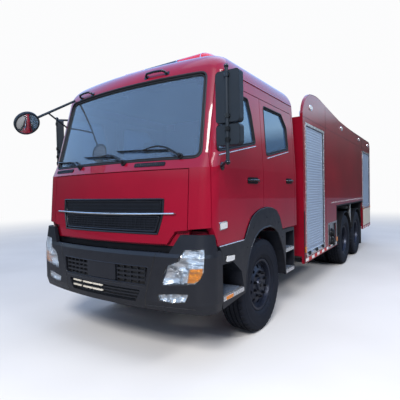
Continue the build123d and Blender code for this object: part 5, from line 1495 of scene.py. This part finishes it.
# ------------------------------------------------------------------ rear face
bm = bmesh.new()
for s in (1, -1):
    # upright lamp cluster beside the bay under the doorway: red, amber, white
    a, b = sorted((s * 0.565, s * 0.675))
    for z0, z1, mi in ((0.935, 1.070, 0), (0.810, 0.925, 1), (0.700, 0.800, 2)):
        add_patch(bm, rounded([(a, z0), (b, z0), (b, z1), (a, z1)], 0.014, 4), rear, 0.022, 0.022, 0.1, mi)
    add_bead(bm, rounded([(a - 0.010, 0.688), (b + 0.010, 0.688), (b + 0.010, 1.082), (a - 0.010, 1.082)], 0.020, 4),
             rear, 0.006, 0.008, segs=8, mi=3)
    # tall lamps and reflectors on the rear wall
    a, b = sorted((s * 1.10, s * 1.16))
    if s > 0:
        add_patch(bm, rounded([(a, 2.30), (b, 2.30), (b, 2.56), (a, 2.56)], 0.02, 4), rear, 0.016, 0.016, 0.2, 0)
    add_patch(bm, rounded([(a, 2.61), (b, 2.61), (b, 2.68), (a, 2.68)], 0.01, 4), rear, 0.016, 0.016, 0.2, 1)
    a, b = sorted((s * 0.70, s * 0.74))
    add_patch(bm, rounded([(a, 1.02), (b, 1.02), (b, 1.10), (a, 1.10)], 0.008, 4), rear, 0.010, 0.010, 0.2, 0)
finish_mesh("rear_lamps", bm, (RED_LENS, AMBER, WHITE_LENS, CHROME), "chassis", 35)

bm = bmesh.new()
# blank plate on its holder, which stands on the bumper
add_patch(bm, rounded([(-0.26, 0.706), (0.26, 0.706), (0.26, 0.826), (-0.26, 0.826)], 0.012, 4), on_rear(7.792), 0.0035, 0.003, 0.3, 1)
add_patch(bm, rounded([(-0.28, 0.686), (0.28, 0.686), (0.28, 0.846), (-0.28, 0.846)], 0.014, 4), on_rear(7.792), 0.0, 0.008, 0.3, 0)
for x in (-0.19, 0.19):
    add_box(bm, x - 0.018, x + 0.018, 7.774, 7.786, 0.634, 0.830, 0, 0.003)
    add_box(bm, x - 0.018, x + 0.018, 7.756, 7.786, 0.634, 0.644, 0, 0.002)
    hex_nut(bm, P(x, 7.766, 0.644), (0, 0, 1), 0.007, 0.007)
finish_mesh("rear_plate_holder", bm, (DARK_PLASTIC, WHITE_MARK), "chassis", 35)

bm = bmesh.new()
# striped film on the wall beside the bay
for s in (1, -1):
    for i in range(4):
        a, b = sorted((s * (0.770 + 0.107 * i), s * (0.770 + 0.107 * (i + 1))))
        add_patch(bm, [(a, 0.945), (b, 0.945), (b, 0.995), (a, 0.995)], rear, 0.0014, 0.0014, 5, i % 2)
finish_mesh("rear_reflective_film", bm, (WHITE_MARK, RED_MARK), "chassis", 35)

bm = bmesh.new()
for x in (-1.150, -0.760):
    for z in (0.76, 1.90, 2.70):
        add_cyl(bm, P(x, 7.731, z), P(x, 7.738, z), 0.030, 16, bevel=0.002)
    bmesh.ops.create_uvsphere(bm, u_segments=16, v_segments=10, radius=0.0185, matrix=Matrix.Translation(P(x, 7.815, 3.062)))
for i in range(8):
    z = 0.76 + 0.30 * i
    for k in range(11):
        x = -1.120 + 0.033 * k
        add_lathe(bm, P(x, 7.815, z), (1, 0, 0), [(-0.004, 0.0140), (0.0, 0.0158), (0.004, 0.0140)], 12)
finish_mesh("ladder_grips", bm, ALU, "chassis", 40)

# ------------------------------------------------------------------ roof deck
bm = bmesh.new()
add_box(bm, -1.200, 1.200, 1.395, 4.560, 2.7405, 2.7435, 0)
add_box(bm, -1.200, 1.200, 5.300, 6.800, 2.7405, 2.7435, 0)
add_box(bm, -1.200, 1.200, 7.100, 7.725, 2.7405, 2.7435, 0)
for y0, y1 in ((4.560, 5.300), (6.800, 7.100)):
    for s in (1, -1):
        add_box(bm, *sorted((s * 0.34, s * 1.200)), y0, y1, 2.7405, 2.7435, 0)
finish_mesh("deck_tread_plate", bm, PLATE, "chassis", 30)

bm = bmesh.new()
for s in (1, -1):
    # low rail along the deck
    pts = [P(s * 1.13, 1.60, 2.745), P(s * 1.13, 1.60, 2.86), P(s * 1.13, 1.66, 2.90)] + \
          [P(s * 1.13, 1.66 + 0.5 * i, 2.90) for i in range(1, 12)] + [P(s * 1.13, 7.44, 2.90), P(s * 1.13, 7.50, 2.86), P(s * 1.13, 7.50, 2.745)]
    add_sweep(bm, pts, 0.016, segs=12)
    for i in range(1, 6):
        y = 1.60 + i * 1.0
        add_cyl(bm, P(s * 1.13, y, 2.744), P(s * 1.13, y, 2.90), 0.012, 12)
        add_cyl(bm, P(s * 1.13, y, 2.744), P(s * 1.13, y, 2.752), 0.030, 14)
finish_mesh("deck_rails", bm, ALU, "chassis", 40)

bm = bmesh.new()
c = P(0, 4.90, 2.830)
add_lathe(bm, c, (0, 0, 1), [(-0.002, 0.300), (0.004, 0.296), (0.012, 0.22), (0.014, 0.10), (0.014, 0.0)], 48, 0)
for k in range(6):
    t = math.pi * k / 3
    a = c + Vector((0.10 * math.cos(t), 0.10 * math.sin(t), 0.014))
    b = c + Vector((0.27 * math.cos(t), 0.27 * math.sin(t), 0.008))
    add_cyl(bm, a, b, 0.007, 8, 0)
pts = [P(-0.07, 4.66, 2.838), P(-0.07, 4.66, 2.872), P(0.07, 4.66, 2.872), P(0.07, 4.66, 2.838)]
add_sweep(bm, spread(pts, 0.02), 0.008, segs=10, mi=1)
for x in (-0.22, 0.22):
    add_box(bm, x - 0.02, x + 0.02, 4.585, 4.625, 2.818, 2.846, 1, 0.004)
finish_mesh("hatch_lid_details", bm, (ALU, STEEL), "tank_hatch", 40)

bm = bmesh.new()
for k in range(16):
    t = 2 * math.pi * k / 16
    hex_nut(bm, P(0.335 * math.cos(t), 4.90 + 0.335 * math.sin(t), 2.740), (0, 0, 1), 0.009, 0.012)
    hex_nut(bm, P(0.140 * math.cos(t), 6.95 + 0.140 * math.sin(t), 2.744), (0, 0, 1), 0.008, 0.010)
add_lathe(bm, P(0, 6.95, 2.740), (0, 0, 1), [(0.0, 0.165), (0.008, 0.165), (0.010, 0.160), (0.010, 0.111)], 36)
add_lathe(bm, P(0, 6.95, 2.740), (0, 0, 1), [(0.10, 0.1105), (0.102, 0.122), (0.118, 0.122), (0.120, 0.1105)], 36)
finish_mesh("deck_fasteners", bm, STEEL, "chassis", 35)

# ------------------------------------------------------------------ water cannon
bm = bmesh.new()
c = P(0, 6.95, 2.865)
add_lathe(bm, c, (0, 0, 1), [(0.0, 0.096), (0.0, 0.116), (0.012, 0.116), (0.014, 0.096), (0.060, 0.0965), (0.064, 0.100), (0.086, 0.100), (0.0965, 0.090), (0.0965, 0.0)], 36, 0)
for k in range(8):
    t = 2 * math.pi * k / 8
    hex_nut(bm, P(0.1065 * math.cos(t), 6.95 + 0.1065 * math.sin(t), 2.879), (0, 0, 1), 0.006, 0.009, 1)
for s in (1, -1):
    add_lathe(bm, P(s * 0.092, 6.95, 3.015), (s, 0, 0), [(0.0, 0.044), (0.006, 0.042), (0.008, 0.034), (0.008, 0.0212)], 24, 0)
# handwheel of the turning gear
add_cyl(bm, P(0.094, 6.95, 2.915), P(0.165, 6.95, 2.915), 0.010, 12, 1)
pts = [P(0.165, 6.95 + 0.062 * math.cos(t), 2.915 + 0.062 * math.sin(t)) for t in (2 * math.pi * i / 28 for i in range(28))]
add_sweep(bm, pts, 0.007, True, 8, 2)
for k in range(3):
    t = 2 * math.pi * k / 3
    add_cyl(bm, P(0.165, 6.95, 2.915), P(0.165, 6.95 + 0.062 * math.cos(t), 2.915 + 0.062 * math.sin(t)), 0.005, 8, 2)
finish_mesh("cannon_turret_details", bm, (RED, STEEL, BLACK_GLOSS), "cannon_turret", 40)

bm = bmesh.new()
ax = (0, -1, 0)
c = P(0, 6.95, 3.015)
add_lathe(bm, c, ax, [(0.16, 0.039), (0.162, 0.056), (0.176, 0.056), (0.178, 0.039)], 28, 0)
add_lathe(bm, c, ax, [(0.585, 0.039), (0.590, 0.058), (0.60, 0.060), (0.606, 0.058)], 28, 0)
add_lathe(bm, c, ax, [(0.690, 0.0555), (0.700, 0.0605), (0.760, 0.0605), (0.768, 0.0555)], 28, 1)
add_lathe(bm, c, ax, [(0.820, 0.0555), (0.828, 0.0620), (0.855, 0.0620), (0.859, 0.0575), (0.859, 0.040), (0.800, 0.0375)], 28, 1)
for k in range(12):
    t = 2 * math.pi * k / 12
    a = c + Vector((0.0605 * math.cos(t), -0.705, 0.0605 * math.sin(t)))
    add_cyl(bm, a, a + Vector((0, -0.050, 0)), 0.0035, 6, 1)
# lever grip on top
pts = [P(0.03, 6.80, 3.050), P(0.03, 6.80, 3.11), P(0.03, 6.86, 3.135), P(0.03, 6.98, 3.135)]
add_sweep(bm, spread(pts, 0.02), 0.009, segs=10, mi=1)
add_sweep(bm, spread([P(0.03, 6.94, 3.135), P(0.03, 7.04, 3.135)], 0.02), 0.014, segs=12, mi=2)
# the barrel stands ten degrees up
raise_by = Matrix.Translation(c) @ Matrix.Rotation(math.radians(-10.0), 4, "X") @ Matrix.Translation(-c)
bmesh.ops.transform(bm, matrix=raise_by, verts=bm.verts)
finish_mesh("cannon_barrel_details", bm, (RED, STEEL, BLACK_GLOSS), "cannon_barrel", 40)

# ------------------------------------------------------------------ running gear details
bm = bmesh.new()
for s in (1, -1):
    x0, x1 = sorted((s * 0.352, s * 0.428))
    # leaves under the front spring, stepped in length
    for i in range(4):
        h = 0.10 + 0.16 * (4 - i)
        zc = 0.545 + 0.018 * (4 - i)
        pts_y = [-h, h]
        add_box(bm, x0, x1, -h, h, zc - 0.006, zc + 0.006, 0, 0.001)
    for y in (-0.07, 0.07):
        for xx in (s * 0.340, s * 0.440):
            add_cyl(bm, P(xx, y, 0.470), P(xx, y, 0.672), 0.009, 10, 1)
            hex_nut(bm, P(xx, y, 0.495), (0, 0, -1), 0.014, 0.016, 1)
        add_cyl(bm, P(s * 0.340, y, 0.668), P(s * 0.440, y, 0.668), 0.009, 10, 1)
    # rear springs' U-bolts
    for y in (-0.11, 0.11):
        for xx in (s * 0.430, s * 0.530):
            add_cyl(bm, P(xx, 5.025 + y, 0.560), P(xx, 5.025 + y, 0.800), 0.011, 10, 1)
        add_cyl(bm, P(s * 0.430, 5.025 + y, 0.796), P(s * 0.530, 5.025 + y, 0.796), 0.011, 10, 1)
    # spring brake chambers on the rear axles
    for ya in REAR_AXLES:
        c = P(s * 0.46, ya - 0.17, 0.60)
        add_lathe(bm, c, (0, -1, 0), [(0.0, 0.0), (0.0, 0.070), (0.03, 0.078), (0.06, 0.078), (0.068, 0.084), (0.076, 0.084),
                                      (0.084, 0.078), (0.15, 0.074), (0.165, 0.055), (0.168, 0.0)], 24, 0)
        add_box(bm, *sorted((s * 0.40, s * 0.52)), ya - 0.172, ya - 0.060, 0.560, 0.580, 0, 0.004)
for y, z0, z1 in ((1.25, 0.85, 1.0), (2.55, 0.85, 1.0)):
    pass
# bolts along the frame rails
for s in (1, -1):
    for y in [-1.0 + 0.42 * i for i in range(21)]:
        for z in (0.84, 1.01):
            hex_nut(bm, P(s * 0.430, y, z), (s, 0, 0), 0.011, 0.012, 1)
# cover plates of the two differentials
for ya in REAR_AXLES:
    add_lathe(bm, P(0, ya + 0.02, WHEEL_Z), (0, 1, 0), [(0.176, 0.150), (0.186, 0.150), (0.198, 0.120), (0.206, 0.0)], 32, 0)
    for k in range(12):
        t = 2 * math.pi * k / 12
        hex_nut(bm, P(0.132 * math.cos(t), ya + 0.206, WHEEL_Z + 0.132 * math.sin(t)), (0, 1, 0), 0.008, 0.008, 1)
finish_mesh("running_gear_details", bm, (CHASSIS, STEEL), "chassis", 40)

bm = bmesh.new()
# oil pan ribs and gearbox ribs on the engine
for i in range(9):
    y = -0.80 + 0.125 * i
    add_box(bm, -0.305, 0.305, y - 0.006, y + 0.006, 0.620, 0.900, 0, 0.002)
for i in range(6):
    y = 0.40 + 0.105 * i
    add_box(bm, -0.215, 0.215, y - 0.005, y + 0.005, 0.650, 1.100, 0, 0.002)
add_box(bm, -0.22, 0.22, -0.74, 0.20, 0.585, 0.602, 0, 0.006)
add_cyl(bm, P(0.0, 0.02, 0.588), P(0.0, 0.02, 0.570), 0.018, 6, 0)
finish_mesh("engine_ribs", bm, CAST, "chassis", 35)

bm = bmesh.new()
for y in (2.70, 3.34):
    pts = [P(-0.548, y, 0.72), P(-0.548, y, 1.12), P(-0.60, y, 1.187), P(-1.07, y, 1.187), P(-1.137, y, 1.12), P(-1.137, y, 0.70), P(-1.07, y, 0.633), P(-0.62, y, 0.633)]
    for k in range(len(pts) - 1):
        a, b = pts[k], pts[k + 1]
        add_sweep(bm, [a + Vector((0, -0.02, 0)), b + Vector((0, -0.02, 0))], 0.004, segs=6)
        add_sweep(bm, [a + Vector((0, 0.02, 0)), b + Vector((0, 0.02, 0))], 0.004, segs=6)
add_cyl(bm, P(-1.02, 2.90, 1.178), P(-1.02, 2.90, 1.206), 0.045, 24, bevel=0.006)
finish_mesh("fuel_tank_straps", bm, STEEL, "chassis", 40)

# fender lips and the bright post between the rear wheels
for side, s in SIDES:
    bm = bmesh.new()
    for ya in REAR_AXLES:
        pts = []
        for i in range(29):
            t = math.radians(19.5 + 141.0 * i / 28)
            pts.append(P(s * 1.230, ya + 0.606 * math.cos(t), WHEEL_Z + 0.606 * math.sin(t)))
        add_sweep(bm, pts, 0.009, segs=8)
    finish_mesh("fender_lips_" + side, bm, FLAP, "chassis", 60)
    bm = bmesh.new()
    add_box(bm, *sorted((s * 1.150, s * 1.205)), 4.995, 5.055, 0.760, 1.300, 0, 0.004)
    add_box(bm, *sorted((s * 0.560, s * 1.205)), 5.010, 5.040, 1.180, 1.240, 0, 0.003)
    finish_mesh("bogie_post_" + side, bm, ALU, "chassis", 35)
    bm = bmesh.new()
    # skirt behind the inlets: dark panel closing the wheel bay's front
    add_box(bm, *sorted((s * 0.575, s * 1.205)), 3.462, 3.474, 0.640, 1.298, 0, 0.002)
    add_box(bm, *sorted((s * 0.575, s * 1.205)), 6.372, 6.384, 0.640, 1.298, 0, 0.002)
    finish_mesh("bay_panels_" + side, bm, DARK_PLASTIC, "chassis", 35)


# ------------------------------------------------------------------ cab inside
def cushion(name, x0, x1, y0, y1, z0, z1, crown, mat, body, lean=0.0, channels=0, across="x"):
    """A crowned pad: rounded block whose sides pull in between its corners, with sewn channels."""
    nx, ny, nz = 18, 12, 6
    bm = bmesh.new()
    bmesh.ops.create_cube(bm, size=2.0)
    bmesh.ops.subdivide_edges(bm, edges=bm.edges[:], cuts=11, use_grid_fill=True)
    cx, cy, cz = (x0 + x1) / 2, (y0 + y1) / 2, (z0 + z1) / 2
    hx, hy, hz = (x1 - x0) / 2, (y1 - y0) / 2, (z1 - z0) / 2
    for v in bm.verts:
        u, w, t = v.co
        # superellipsoid-like rounding with crowned faces
        p = 5.0
        k = (abs(u) ** p + abs(w) ** p + abs(t) ** p) ** (1 / p)
        u, w, t = u / k, w / k, t / k
        bul = crown * (1 - u * u) * (1 - w * w)
        px, py, pz = cx + hx * u, cy + hy * w, cz + hz * t
        if t > 0:
            pz += bul * t
            if channels:
                q = u if across == "x" else w
                ph = (q + 1) / 2 * channels
                d = abs(ph - round(ph))
                if 0.5 < ph < channels - 0.5:
                    pz -= 0.010 * math.exp(-(d / 0.07) ** 2)
        px -= 0.02 * hx * u * (1 - w * w)
        v.co = Vector((px, Y(py), pz))
    if lean:
        m = Matrix.Translation(Vector((cx, Y(cy), z0))) @ Matrix.Rotation(lean, 4, "X") @ Matrix.Translation(-Vector((cx, Y(cy), z0)))
        bmesh.ops.transform(bm, matrix=m, verts=bm.verts)
    ob = finish_mesh(name, bm, mat, body, 180)
    sub = ob.modifiers.new("smooth", "SUBSURF")
    sub.levels = sub.render_levels = 1
    return ob


first_seat = None
for x0, x1, tag in ((0.405, 0.855, "driver"), (-0.855, -0.405, "passenger")):
    a = cushion("seat_cushion_" + tag, x0, x1, -0.475, 0.020, 1.555, 1.640, 0.020, SEAT, "chassis", 0.0, 4)
    b = cushion("seat_back_" + tag, x0 + 0.01, x1 - 0.01, -0.020, 0.085, 1.640, 2.200, 0.0, SEAT, "chassis", -0.16)
    c = cushion("seat_headrest_" + tag, x0 + 0.10, x1 - 0.10, 0.055, 0.145, 2.225, 2.400, 0.0, SEAT, "chassis", -0.1)
    if first_seat is None:
        first_seat = a
for i in range(4):
    x0 = -1.04 + 0.52 * i
    cushion("bench_cushion_%d" % (i + 1), x0 + 0.005, x0 + 0.515, 0.545, 0.945, 1.560, 1.650, 0.018, SEAT, "chassis", 0.0, 3)
    cushion("bench_back_%d" % (i + 1), x0 + 0.01, x0 + 0.51, 0.965, 1.060, 1.665, 2.235, 0.0, SEAT, "chassis", -0.04)
bm = bmesh.new()
for x0, x1 in ((0.42, 0.84), (-0.84, -0.42)):
    add_box(bm, x0, x1, -0.44, 0.0, 1.286, 1.552, 0, 0.02)
    add_box(bm, x0 + 0.05, x1 - 0.05, 0.03, 0.06, 1.50, 2.10, 0, 0.01)
    for xx in ((x0 + x1) / 2 - 0.05, (x0 + x1) / 2 + 0.05):
        add_cyl(bm, P(xx, 0.085, 2.15), P(xx, 0.10, 2.28), 0.007, 8, 0)
add_box(bm, -1.055, 1.055, 0.565, 1.065, 1.286, 1.556, 0, 0.02)
add_box(bm, -1.055, 1.055, 1.055, 1.068, 1.556, 2.20, 0, 0.004)
ob = finish_mesh("seat_frames", bm, DASH, "chassis", 35)
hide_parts("seats")

bm = bmesh.new()
# instrument hood, round gauges, screen, vents
add_box(bm, 0.36, 0.84, -0.96, -0.86, 1.900, 1.985, 0, 0.02)
for x in (0.47, 0.60, 0.73):
    c = P(x, -0.850, 1.938)
    add_lathe(bm, c, (0, 1, 0.2), [(-0.012, 0.050), (0.002, 0.050), (0.004, 0.046), (-0.002, 0.044), (-0.002, 0.0)], 28, 1)
    add_cyl(bm, c + Vector((0, 0.002, 0)), c + Vector((0.028, 0.006, 0.022)), 0.0018, 6, 2)
add_box(bm, -0.12, 0.16, -0.835, -0.800, 1.770, 1.870, 1, 0.008)
for x in (-0.90, -0.30, 0.25, 0.98):
    add_box(bm, x - 0.05, x + 0.05, -0.835, -0.798, 1.790, 1.850, 1, 0.006)
    for k in range(4):
        add_box(bm, x - 0.045, x + 0.045, -0.800, -0.792, 1.797 + 0.014 * k, 1.801 + 0.014 * k, 0, 0.001)
finish_mesh("dashboard_details", bm, (DASH, BLACK_GLOSS, AMBER), "chassis", 35)

bm = bmesh.new()
# inner lining: ceiling and floor mat
add_box(bm, -1.03, 1.03, -0.80, 1.02, 2.826, 2.834, 0, 0.003)
add_box(bm, -1.10, 1.10, -1.05, 1.03, 1.2855, 1.2905, 0, 0.002)
finish_mesh("cab_lining", bm, INNER, "chassis", 35)

bm = bmesh.new()
# sun visors
for x0, x1 in ((0.18, 0.88), (-0.88, -0.18)):
    add_box(bm, x0, x1, -0.93, -0.78, 2.780, 2.796, 0, 0.006)
finish_mesh("sun_visors", bm, DASH, "chassis", 40)
